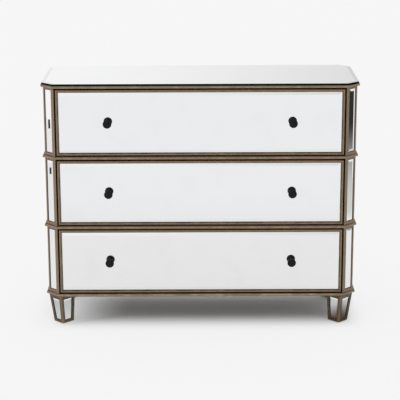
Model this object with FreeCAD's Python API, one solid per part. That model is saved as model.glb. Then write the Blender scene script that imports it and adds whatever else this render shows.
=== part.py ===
import FreeCAD, Part

import math
import os

from FreeCAD import Vector

# A three-drawer chest clad in bevelled mirror glass, with canted corners.
# Millimetres, +Z up, the drawers face -Y, +X is to the viewer's right.
# The origin is on the floor, below the middle of the whole chest with its knobs.

# Case: its plan is a rectangle with the four corners cut off at 45 degrees.
case_width = 1126.0            # across the posts
case_depth = 389.0             # front of the posts to back of the posts
corner_cut = 41.5              # length cut off each side at a corner
post_depth = 60.0              # front to back of one corner post
leg_height = 114.0             # floor to underside of the bottom board
bottom_board_thickness = 9.0
rail_height = 9.0              # nosed rail between two drawers
lip_height = 9.0               # moulded edge of the top, under the glass

# Drawer fronts and the gaps round them.
drawer_names = ("lower", "middle", "upper")
gap_below_front = 5.0
gap_above_front = 6.0
gap_beside_front = 5.0
front_board_thickness = 16.0

# Mirror glass, and the beading that frames a pane.
pane_thickness = 4.0
pane_edge_thickness = 2.4
pane_bevel = 10.0
pane_recess = 2.0              # pane face behind the front of the posts
bead_width = 10.0
bead_height = 7.0
bead_shoulder = 3.0            # radius of the bead's outer edge
bead_crest = 2.0               # flat along the top of the bead
bead_inner_height = 3.6        # where the bead meets the pane
bead_hollow = 0.18             # depth of the hollow as a share of its run

# Mouldings round the corners and sides.
nose_projection = 8.5
cove_height = 9.5
cove_foot = 0.8                # thickness of the cove's upper edge
quirk_height = 1.2             # small step between nose and cove
cove_quirk = 0.8               # cove behind the nose at that step
cove_hollow = 1.3              # depth of the cove below a straight slope

# Top.
top_overhang = 8.5             # lip beyond the posts, on every side
lip_corner_cut = 45.0
lip_width = 46.0               # width of the strips round the top board
lip_rounding = 3.2
glass_thickness = 8.0
glass_inset = 3.5              # glass behind the edge of the lip
glass_corner_cut = 41.0
glass_bevel = 13.0
glass_bevel_drop = 0.7

# Mirrors let into the corner posts and legs: the wood slopes down to the glass.
frame_slope_width = 3.0
frame_slope_depth = 1.5
post_mirror_width = 32.5
post_mirror_offset = 4.75      # nearer to the side than to the drawer
post_mirror_foot = 8.0         # its lower edge above the lower edge of the drawer front
post_mirror_head = 3.0         # its upper edge below the upper edge of the drawer front
post_mirror_thickness = 3.0
post_mirror_edge = 2.1
post_mirror_bevel = 8.0
post_side_arris = 4.0
post_drawer_arris = 0.8

# Sides and back.
side_panel_thickness = 20.0
side_pocket_depth = 8.0
back_panel_thickness = 6.0
rail_depth = 50.0              # front rails, from the front of the posts
rear_rail_depth = 40.0

# Legs: square, turned 45 degrees, with the outer face sloping in.
leg_top_width = 68.0
leg_inset = 3.0                # outer face behind the cut corner, at the top
leg_outer_slope = 14.5
leg_side_slope = 8.5
leg_arris = 2.0
leg_stile = 10.0               # flat wood beside the slope round a mirror
leg_top_rail = 15.0
leg_bottom_rail = 8.0
leg_mirror_thickness = 2.6
leg_mirror_edge = 1.4
leg_mirror_bevel = 5.0
glide_radius = 17.0
glide_height = 3.0
leg_bolt_radius = 4.0
leg_bolt_in_leg = 45.0
tee_nut_radius = 5.5
tee_nut_flange_radius = 11.0
tee_nut_flange = 1.5

# Drawer boxes.
box_clearance = 13.5           # box side to the post beside it
box_side_height = 215.0
box_side_thickness = 12.0
room_behind_box = 36.0         # drawer box to back panel
box_bottom_thickness = 6.0
box_bottom_lift = 8.0          # underside of the bottom above the sides' lower edge
box_groove = 6.0
running_gap = 0.3

# Runners, guides, kickers and stops inside the case.
runner_width = 40.0
guide_height = 12.0
guide_gap = 0.5
kicker_width = 16.0
kicker_height = 33.2
kicker_gap = 1.5
stop_length = 40.0
stop_depth = 16.0
stop_height = 7.0
stop_offset = 300.0            # middle of the chest to a stop

# Knobs.
knob_offset = 332.0            # middle of the chest to a knob
knob_radius = 15.6
knob_reach = 31.0              # pane face to the knob's face
knob_rim_reach = 25.5          # pane face to the widest circle
knob_dome = 3.6                # height of the domed face
knob_foot_radius = 8.0
knob_foot_height = 2.5
knob_neck_radius = 5.5
knob_neck_reach = 9.0
knob_rim_rounding = 2.2
screw_radius = 2.0
screw_hole_radius = 2.6
screw_in_knob = 14.0
screw_head_radius = 4.5
screw_head_height = 2.5

# Screws of the back panel.
back_screw_radius = 1.8
back_screw_length = 20.0
back_screw_head_radius = 3.6
back_screw_head_height = 2.0
back_screw_columns = 5
back_screw_margin = 60.0

# Places worked out from the sizes above.
half_width = case_width / 2
opening_half = half_width - corner_cut
front_half = opening_half - gap_beside_front
knob_overreach = knob_reach - pane_recess
front_y = -(case_depth + top_overhang - knob_overreach) / 2
back_y = front_y + case_depth
floor_of_case = leg_height + bottom_board_thickness
opening_height = running_gap + box_side_height + kicker_gap + kicker_height
front_height = opening_height - gap_below_front - gap_above_front
drawer_pitch = opening_height + rail_height
underside_of_top = floor_of_case + len(drawer_names) * drawer_pitch - rail_height
pane_back_y = front_y + pane_recess + pane_thickness
box_front_y = pane_back_y + front_board_thickness
box_half = opening_half - box_clearance
rail_back_y = front_y + rail_depth
back_panel_y = back_y - back_panel_thickness
box_back_y = back_panel_y - room_behind_box
rear_rail_y = back_panel_y - rear_rail_depth

same_place = 1e-6              # two corners nearer than this are one

LEFT, RIGHT = -1, 1
SIDES = (("left", LEFT), ("right", RIGHT))
FRONT, REAR = 1, -1
ENDS = (("front", FRONT), ("rear", REAR))


def front_bottom(level):
    """Lower edge of the drawer front on one level, counted from the floor up."""
    return floor_of_case + level * drawer_pitch + gap_below_front


def carrying_height(level):
    """Top of the board or rail that a drawer runs on."""
    return floor_of_case + level * drawer_pitch


def box(x0, x1, y0, y1, z0, z1):
    """Block between two corners, given in any order along X."""
    low, high = min(x0, x1), max(x0, x1)
    return Part.makeBox(high - low, y1 - y0, z1 - z0, Vector(low, y0, z0))


def loop(points):
    """Closed wire through points."""
    return Part.makePolygon(list(points) + [points[0]])


def prism(plan, z0, z1):
    """Upright prism over a plan of (x, y) points."""
    base = [Vector(x, y, z0) for x, y in plan]
    return Part.Face(loop(base)).extrude(Vector(0, 0, z1 - z0))


def cylinder(radius, start, direction, length):
    """Round bar from a start point along a direction."""
    return Part.makeCylinder(radius, length, start, direction)


def group(solids):
    """Several separate solids in one node."""
    return Part.makeCompound(list(solids))


def inset_outline(points, distances):
    """Flat convex outline with each edge moved inwards by its own distance.

    Edge i runs from point i to the next one.
    """
    count = len(points)
    normal = (points[1] - points[0]).cross(points[2] - points[1]).normalize()
    inward = []
    for i in range(count):
        along = (points[(i + 1) % count] - points[i]).normalize()
        inward.append(normal.cross(along))
    moved = []
    for i in range(count):
        before, after = inward[i - 1], inward[i]
        cosine = before.dot(after)
        spread = 1 - cosine * cosine
        share_before = (distances[i - 1] - cosine * distances[i]) / spread
        share_after = (distances[i] - cosine * distances[i - 1]) / spread
        moved.append(points[i] + before * share_before + after * share_after)
    return moved


def bevelled_pane(outline, normal, thickness, edge_thickness, bevel):
    """Glass with its back on the outline and a ground bevel round its face."""
    inner = inset_outline(outline, [bevel] * len(outline))
    back = loop(outline)
    edge = loop([p + normal * edge_thickness for p in outline])
    face = loop([p + normal * thickness for p in inner])
    return Part.makeLoft([back, edge, face], True, True)


def octagon(half_x, y0, y1, cut, z):
    """Rectangle with its corners cut off, counter-clockwise from the front edge's left end."""
    return [
        Vector(-half_x + cut, y0, z),
        Vector(half_x - cut, y0, z),
        Vector(half_x, y0 + cut, z),
        Vector(half_x, y1 - cut, z),
        Vector(half_x - cut, y1, z),
        Vector(-half_x + cut, y1, z),
        Vector(-half_x, y1 - cut, z),
        Vector(-half_x, y0 + cut, z),
    ]


def case_plan(z):
    """Outline of the posts, panels and boards."""
    return octagon(half_width, front_y, back_y, corner_cut, z)


def lip_plan(z):
    """Outline of the top's moulded edge."""
    return octagon(half_width + top_overhang, front_y - top_overhang, back_y + top_overhang,
                   lip_corner_cut, z)


def outward_of(start, end):
    """Level direction that points out of a counter-clockwise outline's edge."""
    along = (end - start).normalize()
    return Vector(along.y, -along.x, 0)


def mitred_strip(outline, edge, profile, reach_in, reach_out, z0, z1):
    """One edge of an outline followed by a profile, cut off at the corners' bisectors.

    The profile is a function of (origin, outward) that gives a closed face.
    """
    count = len(outline)
    start, end = outline[edge], outline[(edge + 1) % count]
    outward = outward_of(start, end)
    along = (end - start).normalize()
    spare = (reach_in + reach_out) * 2
    bar = profile(start - along * spare, outward).extrude(along * ((end - start).Length + 2 * spare))
    inner = inset_outline(outline, [reach_in] * count)
    outer = inset_outline(outline, [-reach_out] * count)
    corners = (inner[edge], inner[(edge + 1) % count], outer[(edge + 1) % count], outer[edge])
    wedge = prism([(p.x, p.y) for p in corners], z0, z1)
    return bar.common(wedge).Solids[0]


def nose_face(origin, outward, z_low, height, back):
    """Half-round nose with a straight tail running back into the case."""
    radius = height / 2

    def at(u, z):
        return Vector(origin.x, origin.y, 0) + outward * u + Vector(0, 0, z)

    tangent = nose_projection - radius
    edges = [
        Part.makeLine(at(-back, z_low), at(tangent, z_low)),
        Part.Arc(at(tangent, z_low), at(nose_projection, z_low + radius),
                 at(tangent, z_low + height)).toShape(),
        Part.makeLine(at(tangent, z_low + height), at(-back, z_low + height)),
        Part.makeLine(at(-back, z_low + height), at(-back, z_low)),
    ]
    return Part.Face(Part.Wire(edges))


def moulding_face(origin, outward, z_low, height):
    """Nose with a hollow cove above it, planted on the face of the case."""
    radius = height / 2
    tangent = nose_projection - radius
    z_quirk = z_low + height + quirk_height
    z_top = z_low + height + cove_height

    def at(u, z):
        return Vector(origin.x, origin.y, 0) + outward * u + Vector(0, 0, z)

    foot = nose_projection - cove_quirk - radius / 2
    hollow = at((foot + cove_foot) / 2 - cove_hollow / math.sqrt(2),
                (z_quirk + z_top) / 2 - cove_hollow / math.sqrt(2))
    edges = [
        Part.makeLine(at(0, z_low), at(tangent, z_low)),
        Part.Arc(at(tangent, z_low), at(nose_projection, z_low + radius),
                 at(tangent, z_low + height)).toShape(),
        Part.makeLine(at(tangent, z_low + height), at(tangent, z_quirk)),
        Part.makeLine(at(tangent, z_quirk), at(foot, z_quirk)),
        Part.Arc(at(foot, z_quirk), hollow, at(cove_foot, z_top)).toShape(),
        Part.makeLine(at(cove_foot, z_top), at(0, z_top)),
        Part.makeLine(at(0, z_top), at(0, z_low)),
    ]
    return Part.Face(Part.Wire(edges))


def lip_face(origin, outward, z_low):
    """Edge of the top: square above, rounded below."""

    def at(u, z):
        return Vector(origin.x, origin.y, 0) + outward * u + Vector(0, 0, z)

    z_high = z_low + lip_height
    shoulder = lip_rounding * (1 - math.sqrt(0.5))
    upper = lip_rounding / 2
    upper_shoulder = upper * (1 - math.sqrt(0.5))
    edges = [
        Part.makeLine(at(-lip_width, z_low), at(-lip_rounding, z_low)),
        Part.Arc(at(-lip_rounding, z_low), at(-shoulder, z_low + shoulder),
                 at(0, z_low + lip_rounding)).toShape(),
        Part.makeLine(at(0, z_low + lip_rounding), at(0, z_high - upper)),
        Part.Arc(at(0, z_high - upper), at(-upper_shoulder, z_high - upper_shoulder),
                 at(-upper, z_high)).toShape(),
        Part.makeLine(at(-upper, z_high), at(-lip_width, z_high)),
        Part.makeLine(at(-lip_width, z_high), at(-lip_width, z_low)),
    ]
    return Part.Face(Part.Wire(edges))


def bead_face(origin, across, forward):
    """Section of the beading: rounded outside, hollow towards the pane."""

    def at(u, d):
        return origin + across * u + forward * d

    crest_start = bead_shoulder
    crest_end = bead_shoulder + bead_crest
    turn = bead_shoulder * (1 - math.sqrt(0.5))
    fall = bead_height - bead_inner_height
    run = bead_width - crest_end
    sink = bead_hollow * run
    hollow = at(crest_end + run / 2 - sink * fall / run, bead_height - fall / 2 - sink)
    edges = [
        Part.makeLine(at(0, 0), at(0, bead_height - bead_shoulder)),
        Part.Arc(at(0, bead_height - bead_shoulder), at(turn, bead_height - turn),
                 at(crest_start, bead_height)).toShape(),
        Part.makeLine(at(crest_start, bead_height), at(crest_end, bead_height)),
        Part.Arc(at(crest_end, bead_height), hollow, at(bead_width, bead_inner_height)).toShape(),
        Part.makeLine(at(bead_width, bead_inner_height), at(bead_width, 0)),
        Part.makeLine(at(bead_width, 0), at(0, 0)),
    ]
    return Part.Face(Part.Wire(edges))


def beading(outline, forward):
    """Four mitred strips of beading just inside a rectangular outline.

    The outline runs counter-clockwise seen from the front.
    """
    inner = inset_outline(outline, [bead_width] * len(outline))
    strips = []
    for i in range(len(outline)):
        start, end = outline[i], outline[(i + 1) % len(outline)]
        along = (end - start).normalize()
        across = forward.cross(along)
        bar = bead_face(start, across, forward).extrude(end - start)
        quad = [start, end, inner[(i + 1) % len(outline)], inner[i]]
        wedge = Part.Face(loop(quad)).extrude(forward * bead_height)
        strips.append(bar.common(wedge).Solids[0])
    return strips


def framed_pane(outline, forward, holes=()):
    """Beading round an outline and the bevelled pane inside it."""
    inner = inset_outline(outline, [bead_width] * len(outline))
    pane = bevelled_pane(inner, forward, pane_thickness, pane_edge_thickness, pane_bevel)
    for hole in holes:
        pane = pane.cut(hole)
    return beading(outline, forward), pane


def let_in(body, outline, outward, thickness):
    """Wood with a pocket for a pane and a slope from its face down to the glass."""
    pocket = Part.Face(loop(outline)).extrude(outward * thickness)
    wide = inset_outline(outline, [-2 * frame_slope_width] * len(outline))
    low = loop([p + outward * thickness for p in outline])
    high = loop([p + outward * (thickness + 2 * frame_slope_depth) for p in wide])
    slope = Part.makeLoft([low, high], True, True)
    return body.cut(pocket).cut(slope)


def corner_axes(side, end):
    """Middle of a cut corner, the direction along it and the direction out of it."""
    y_side = front_y if end == FRONT else back_y
    middle = Vector(side * (half_width - corner_cut / 2), y_side + end * corner_cut / 2, 0)
    outward = Vector(side, -end, 0).normalize()
    along = Vector(0, 0, 1).cross(outward)
    return middle, along, outward


def corner_post(side, end):
    """Post behind a cut corner, with a mirror let in on each level."""
    y_side = front_y if end == FRONT else back_y
    plan = [
        (side * opening_half, y_side),
        (side * half_width, y_side + end * corner_cut),
        (side * half_width, y_side + end * post_depth),
        (side * opening_half, y_side + end * post_depth),
    ]
    post = prism(plan, floor_of_case, underside_of_top)
    for place, radius in zip(plan, (post_drawer_arris, post_side_arris)):
        post = post.makeFillet(radius, [e for e in post.Edges if is_upright_at(e, place)])
    for outline, outward in post_pockets(side, end):
        post = let_in(post, outline, outward, post_mirror_thickness)
    return post


def is_upright_at(edge, place):
    """True for an upright edge over an (x, y) place."""
    ends = [vertex.Point for vertex in edge.Vertexes]
    return all(math.hypot(p.x - place[0], p.y - place[1]) < same_place for p in ends)


def post_pockets(side, end):
    """Back outline and outward direction of each mirror pocket of a post."""
    middle, along, outward = corner_axes(side, end)
    inwards = -along if along.x * side > 0 else along
    pockets = []
    for level in range(len(drawer_names)):
        low = front_bottom(level) + post_mirror_foot
        high = front_bottom(level) + front_height - post_mirror_head
        depth = frame_slope_depth + post_mirror_thickness
        seat = middle - outward * depth - inwards * post_mirror_offset
        left = seat - along * post_mirror_width / 2
        right = seat + along * post_mirror_width / 2
        outline = [
            left + Vector(0, 0, low),
            right + Vector(0, 0, low),
            right + Vector(0, 0, high),
            left + Vector(0, 0, high),
        ]
        pockets.append((outline, outward))
    return pockets


def post_mirrors(end):
    """Mirrors of the two posts at the front or at the rear."""
    panes = []
    for _, side in SIDES:
        for outline, outward in post_pockets(side, end):
            panes.append(bevelled_pane(outline, outward, post_mirror_thickness,
                                       post_mirror_edge, post_mirror_bevel))
    return group(panes)


def side_outlines(side):
    """Outline of each pocket floor in a side panel, and the outward direction."""
    x = side * (half_width - side_pocket_depth)
    y0, y1 = front_y + post_depth, back_y - post_depth
    near, far = (y0, y1) if side == RIGHT else (y1, y0)
    outlines = []
    for level in range(len(drawer_names)):
        low = front_bottom(level)
        high = low + front_height
        outlines.append([
            Vector(x, near, low),
            Vector(x, far, low),
            Vector(x, far, high),
            Vector(x, near, high),
        ])
    return outlines, Vector(side, 0, 0)


def side_panel(side):
    """Side of the case between two posts, with a pocket for each framed mirror."""
    inner_x = side * (half_width - side_panel_thickness)
    panel = box(inner_x, side * half_width, front_y + post_depth, back_y - post_depth,
                floor_of_case, underside_of_top)
    outlines, outward = side_outlines(side)
    for outline in outlines:
        panel = panel.cut(Part.Face(loop(outline)).extrude(outward * side_pocket_depth))
    return panel


def side_mirror_set():
    """Beading and panes of both sides."""
    strips, panes = [], []
    for _, side in SIDES:
        outlines, outward = side_outlines(side)
        for outline in outlines:
            frame, pane = framed_pane(outline, outward)
            strips += frame
            panes.append(pane)
    return group(strips), group(panes)


def wrap_edges():
    """Edges of the case plan that a moulding follows: corners and sides."""
    return (1, 2, 3, 5, 6, 7)


def wrapping_moulding(z_low, height):
    """Mitred strips of one moulding round the corners and the sides."""
    outline = case_plan(0)

    def profile(origin, outward):
        return moulding_face(origin, outward, z_low, height)

    strips = []
    for edge in wrap_edges():
        strips.append(mitred_strip(outline, edge, profile, 0, nose_projection,
                                   z_low, z_low + height + cove_height))
    return group(strips)


def nosed_front(z_low, height, back):
    """Nose across the front, mitred to the corner mouldings, with a tail between the posts."""
    outline = case_plan(0)

    def profile(origin, outward):
        return nose_face(origin, outward, z_low, height, 0)

    nose = mitred_strip(outline, 0, profile, 0, nose_projection, z_low, z_low + height)
    if back == 0:
        return nose
    tail = box(-opening_half, opening_half, front_y, front_y + back, z_low, z_low + height)
    return nose.fuse(tail).removeSplitter()


def bolt_places():
    """Axis of each leg bolt, as (side, end, point at the leg's top)."""
    places = []
    for _, side in SIDES:
        for _, end in ENDS:
            middle, _, outward = corner_axes(side, end)
            axis = middle - outward * (leg_inset + leg_top_width / 2)
            places.append((side, end, Vector(axis.x, axis.y, leg_height)))
    return places


def leg_bolt(place):
    """Hanger bolt that stands in the leg and screws into the tee nut."""
    start = Vector(place.x, place.y, leg_height - leg_bolt_in_leg)
    length = leg_bolt_in_leg + bottom_board_thickness - tee_nut_flange
    return cylinder(leg_bolt_radius, start, Vector(0, 0, 1), length)


def tee_nut(place):
    """Flanged nut let into the bottom board from above."""
    barrel = cylinder(tee_nut_radius, place, Vector(0, 0, 1), bottom_board_thickness)
    flange_start = Vector(place.x, place.y, floor_of_case - tee_nut_flange)
    flange = cylinder(tee_nut_flange_radius, flange_start, Vector(0, 0, 1), tee_nut_flange)
    return barrel.fuse(flange).removeSplitter().cut(leg_bolt(place))


def bottom_board():
    """Board under the lowest drawer, with a seat for each tee nut."""
    board = Part.Face(loop(case_plan(leg_height))).extrude(Vector(0, 0, bottom_board_thickness))
    for _, _, place in bolt_places():
        board = board.cut(tee_nut(place)).cut(leg_bolt(place))
    return board


def leg_outlines(side, end):
    """Top and bottom outlines of a leg, outer face first, counter-clockwise from above."""
    middle, along, outward = corner_axes(side, end)
    half_top = leg_top_width / 2
    face = middle - outward * leg_inset
    rear = face - outward * leg_top_width
    top = [face - along * half_top, face + along * half_top, rear + along * half_top,
           rear - along * half_top]
    half_bottom = half_top - leg_side_slope
    low_face = face - outward * leg_outer_slope
    bottom = [low_face - along * half_bottom, low_face + along * half_bottom,
              rear + along * half_bottom, rear - along * half_bottom]
    top = [Vector(p.x, p.y, leg_height) for p in top]
    bottom = [Vector(p.x, p.y, glide_height) for p in bottom]
    return top, bottom


def leg_faces(side, end):
    """Outline and outward direction of the three mirrored faces of a leg."""
    top, bottom = leg_outlines(side, end)
    margins = [m + frame_slope_width for m in (leg_bottom_rail, leg_stile, leg_top_rail, leg_stile)]
    depth = frame_slope_depth + leg_mirror_thickness
    faces = []
    for i in (0, 1, 3):
        j = (i + 1) % 4
        corners = [bottom[i], bottom[j], top[j], top[i]]
        normal = (corners[1] - corners[0]).cross(corners[2] - corners[1]).normalize()
        inner = inset_outline(corners, margins)
        faces.append(([p - normal * depth for p in inner], normal))
    return faces


def leg(side, end, place):
    """Tapered leg with mirrors let in and a hole for its bolt."""
    top, bottom = leg_outlines(side, end)
    body = Part.makeLoft([loop(bottom), loop(top)], True, True)
    arrises = [e for e in body.Edges if abs(e.Vertexes[0].Z - e.Vertexes[-1].Z) > leg_height / 2]
    body = body.makeFillet(leg_arris, arrises)
    for outline, normal in leg_faces(side, end):
        body = let_in(body, outline, normal, leg_mirror_thickness)
    return body.cut(leg_bolt(place))


def leg_mirrors():
    """Mirrors of all four legs."""
    panes = []
    for side, end, _ in bolt_places():
        for outline, normal in leg_faces(side, end):
            panes.append(bevelled_pane(outline, normal, leg_mirror_thickness,
                                       leg_mirror_edge, leg_mirror_bevel))
    return group(panes)


def leg_glide(side, end):
    """Round glide under the middle of a leg's foot."""
    _, bottom = leg_outlines(side, end)
    middle = (bottom[0] + bottom[2]) * 0.5
    return cylinder(glide_radius, Vector(middle.x, middle.y, 0), Vector(0, 0, 1), glide_height)


def back_screw(x, z):
    """Pan-head screw through the back panel into a rail or board."""
    head_start = Vector(x, back_y, z)
    head = cylinder(back_screw_head_radius, head_start, Vector(0, 1, 0), back_screw_head_height)
    shank = cylinder(back_screw_radius, head_start, Vector(0, -1, 0), back_screw_length)
    return head.fuse(shank).removeSplitter()


def back_screws():
    """Screws in a row at each rear rail."""
    span = 2 * (opening_half - back_screw_margin)
    screws = []
    for level in range(1, len(drawer_names)):
        z = carrying_height(level) - rail_height / 2
        for column in range(back_screw_columns):
            x = -span / 2 + span * column / (back_screw_columns - 1)
            screws.append(back_screw(x, z))
    return screws


def rear_rails(screws):
    """Rail behind each drawer gap, drilled for the back panel's screws."""
    rails = []
    for level in range(1, len(drawer_names)):
        z = carrying_height(level)
        rail = box(-opening_half, opening_half, rear_rail_y, back_panel_y, z - rail_height, z)
        for screw in screws:
            rail = rail.cut(screw)
        rails.append(rail)
    return group(rails)


def runners():
    """Strips between front and rear rails that carry the two higher drawers."""
    strips = []
    for level in range(1, len(drawer_names)):
        z = carrying_height(level)
        for _, side in SIDES:
            strips.append(box(side * (opening_half - runner_width), side * opening_half,
                              rail_back_y, rear_rail_y, z - rail_height, z))
    return group(strips)


def guides():
    """Strips that keep each drawer box central."""
    strips = []
    for level in range(len(drawer_names)):
        z = carrying_height(level)
        for _, side in SIDES:
            strips.append(box(side * (box_half + guide_gap), side * opening_half,
                              rail_back_y, rear_rail_y, z, z + guide_height))
    return group(strips)


def kickers():
    """Strips over the drawer sides that stop an open drawer from tipping."""
    strips = []
    for level in range(len(drawer_names)):
        high = carrying_height(level) + opening_height
        low = high - kicker_height
        for _, side in SIDES:
            strips.append(box(side * (box_half - kicker_width), side * box_half,
                              rail_back_y, rear_rail_y, low, high))
    return group(strips)


def stops():
    """Blocks behind the drawer fronts that set how far a drawer goes in."""
    blocks = []
    y0 = box_front_y + running_gap
    for level in range(len(drawer_names)):
        z = carrying_height(level)
        for _, side in SIDES:
            x0 = side * (stop_offset - stop_length / 2)
            x1 = side * (stop_offset + stop_length / 2)
            blocks.append(box(x0, x1, y0, y0 + stop_depth, z, z + stop_height))
    return group(blocks)


def top_edge():
    """Eight mitred strips round the top board."""
    outline = lip_plan(0)

    def profile(origin, outward):
        return lip_face(origin, outward, underside_of_top)

    strips = []
    for edge in range(len(outline)):
        strips.append(mitred_strip(outline, edge, profile, lip_width, 0,
                                   underside_of_top, underside_of_top + lip_height))
    return group(strips)


def top_board():
    """Board inside the moulded edge."""
    outline = lip_plan(underside_of_top)
    inner = inset_outline(outline, [lip_width] * len(outline))
    return Part.Face(loop(inner)).extrude(Vector(0, 0, lip_height))


def top_mirror():
    """Mirror glass that lies on the top board, with a wide shallow bevel."""
    reach = top_overhang - glass_inset
    outline = octagon(half_width + reach, front_y - reach, back_y + reach, glass_corner_cut,
                      underside_of_top + lip_height)
    return bevelled_pane(outline, Vector(0, 0, 1), glass_thickness,
                         glass_thickness - glass_bevel_drop, glass_bevel)


def knob(x, z):
    """Round knob on a waisted stem, bored for its screw."""
    face_y = front_y + pane_recess

    def at(radius, reach):
        return Vector(x + radius, face_y - reach, z)

    rim_low = knob_rim_reach - knob_rim_rounding
    rim_high = knob_reach - knob_dome
    dome_radius = knob_radius - knob_rim_rounding
    sphere = (dome_radius ** 2 + knob_dome ** 2) / (2 * knob_dome)
    half_angle = math.asin(dome_radius / sphere) / 2
    dome_middle = at(sphere * math.sin(half_angle),
                     knob_reach - sphere * (1 - math.cos(half_angle)))
    flare = at((knob_neck_radius + knob_radius) / 2,
               (knob_neck_reach + rim_low) / 2 + knob_rim_rounding)
    shoulder = at(knob_radius - knob_rim_rounding * (1 - math.sqrt(0.5)),
                  (knob_rim_reach + rim_high) / 2 + knob_rim_rounding / 4)
    edges = [
        Part.makeLine(at(0, 0), at(knob_foot_radius, 0)),
        Part.makeLine(at(knob_foot_radius, 0), at(knob_foot_radius, knob_foot_height)),
        Part.Arc(at(knob_foot_radius, knob_foot_height),
                 at(knob_neck_radius, knob_neck_reach), flare).toShape(),
        Part.Arc(flare, at(dome_radius, rim_low), at(knob_radius, knob_rim_reach)).toShape(),
        Part.Arc(at(knob_radius, knob_rim_reach), shoulder, at(dome_radius, rim_high)).toShape(),
        Part.Arc(at(dome_radius, rim_high), dome_middle, at(0, knob_reach)).toShape(),
        Part.makeLine(at(0, knob_reach), at(0, 0)),
    ]
    body = Part.Face(Part.Wire(edges)).revolve(Vector(x, face_y, z), Vector(0, 1, 0), 360)
    return body.cut(knob_screw(x, z)).Solids[0]


def knob_screw(x, z):
    """Screw from inside the drawer through front board and pane into the knob."""
    head_start = Vector(x, box_front_y, z)
    head = cylinder(screw_head_radius, head_start, Vector(0, 1, 0), screw_head_height)
    length = front_board_thickness + pane_thickness + screw_in_knob
    shank = cylinder(screw_radius, head_start, Vector(0, -1, 0), length)
    return head.fuse(shank).removeSplitter()


def drawer(level):
    """Every piece of one drawer, as node name and shape."""
    low = front_bottom(level)
    high = low + front_height
    knob_z = (low + high) / 2
    knob_places = [(-knob_offset, knob_z), (knob_offset, knob_z)]
    holes = []
    for x, z in knob_places:
        start = Vector(x, box_front_y, z)
        length = front_board_thickness + pane_thickness
        holes.append(cylinder(screw_hole_radius, start, Vector(0, -1, 0), length))
    board = box(-front_half, front_half, pane_back_y, box_front_y, low, high)
    for hole in holes:
        board = board.cut(hole)
    outline = [
        Vector(-front_half, pane_back_y, low),
        Vector(front_half, pane_back_y, low),
        Vector(front_half, pane_back_y, high),
        Vector(-front_half, pane_back_y, high),
    ]
    strips, pane = framed_pane(outline, Vector(0, -1, 0), holes)

    side_low = carrying_height(level) + running_gap
    side_high = side_low + box_side_height
    bottom_low = side_low + box_bottom_lift
    bottom_high = bottom_low + box_bottom_thickness
    inner_half = box_half - box_side_thickness
    back_front_y = box_back_y - box_side_thickness
    bottom = box(-inner_half - box_groove, inner_half + box_groove, box_front_y, box_back_y,
                 bottom_low, bottom_high)
    sides = []
    for _, side in SIDES:
        board_side = box(side * inner_half, side * box_half, box_front_y, box_back_y,
                         side_low, side_high)
        sides.append(board_side.cut(bottom))
    back = box(-inner_half, inner_half, back_front_y, box_back_y, bottom_high, side_high)
    name = drawer_names[level] + "_drawer"
    return {
        name + "_front": board,
        name + "_beading": group(strips),
        name + "_mirror": pane,
        name + "_sides": group(sides),
        name + "_back": back,
        name + "_bottom": bottom,
        name + "_knobs": group([knob(x, z) for x, z in knob_places]),
        name + "_knob_screws": group([knob_screw(x, z) for x, z in knob_places]),
    }


def case():
    """Every fixed piece, as node name and shape."""
    screws = back_screws()
    back_panel = box(-opening_half, opening_half, back_panel_y, back_y, floor_of_case,
                     underside_of_top)
    for screw in screws:
        back_panel = back_panel.cut(screw)
    side_beading, side_mirrors = side_mirror_set()
    pieces = {
        "top_mirror": top_mirror(),
        "top_board": top_board(),
        "top_edge_moulding": top_edge(),
        "front_post_mirrors": post_mirrors(FRONT),
        "rear_post_mirrors": post_mirrors(REAR),
        "left_side_panel": side_panel(LEFT),
        "right_side_panel": side_panel(RIGHT),
        "side_beading": side_beading,
        "side_mirrors": side_mirrors,
        "back_panel": back_panel,
        "back_panel_screws": group(screws),
        "bottom_board": bottom_board(),
        "rear_rails": rear_rails(screws),
        "drawer_runners": runners(),
        "drawer_guides": guides(),
        "drawer_kickers": kickers(),
        "drawer_stops": stops(),
        "base_front_moulding": nosed_front(leg_height, bottom_board_thickness, 0),
        "base_moulding": wrapping_moulding(leg_height, bottom_board_thickness),
    }
    for level in range(1, len(drawer_names)):
        name = "lower" if level == 1 else "upper"
        rail_low = carrying_height(level) - rail_height
        pieces[name + "_front_rail"] = nosed_front(rail_low, rail_height, rail_depth)
        pieces[name + "_moulding"] = wrapping_moulding(rail_low, rail_height)
    for end_name, end in ENDS:
        for side_name, side in SIDES:
            pieces[end_name + "_" + side_name + "_post"] = corner_post(side, end)
    return pieces


def legs():
    """Legs with their mirrors, glides, bolts and nuts."""
    pieces = {"leg_mirrors": leg_mirrors()}
    bolts, nuts, glides = [], [], []
    for side, end, place in bolt_places():
        side_name = "left" if side == LEFT else "right"
        end_name = "front" if end == FRONT else "rear"
        pieces[end_name + "_" + side_name + "_leg"] = leg(side, end, place)
        bolts.append(leg_bolt(place))
        nuts.append(tee_nut(place))
        glides.append(leg_glide(side, end))
    pieces["leg_bolts"] = group(bolts)
    pieces["leg_tee_nuts"] = group(nuts)
    pieces["leg_glides"] = group(glides)
    return pieces


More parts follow.
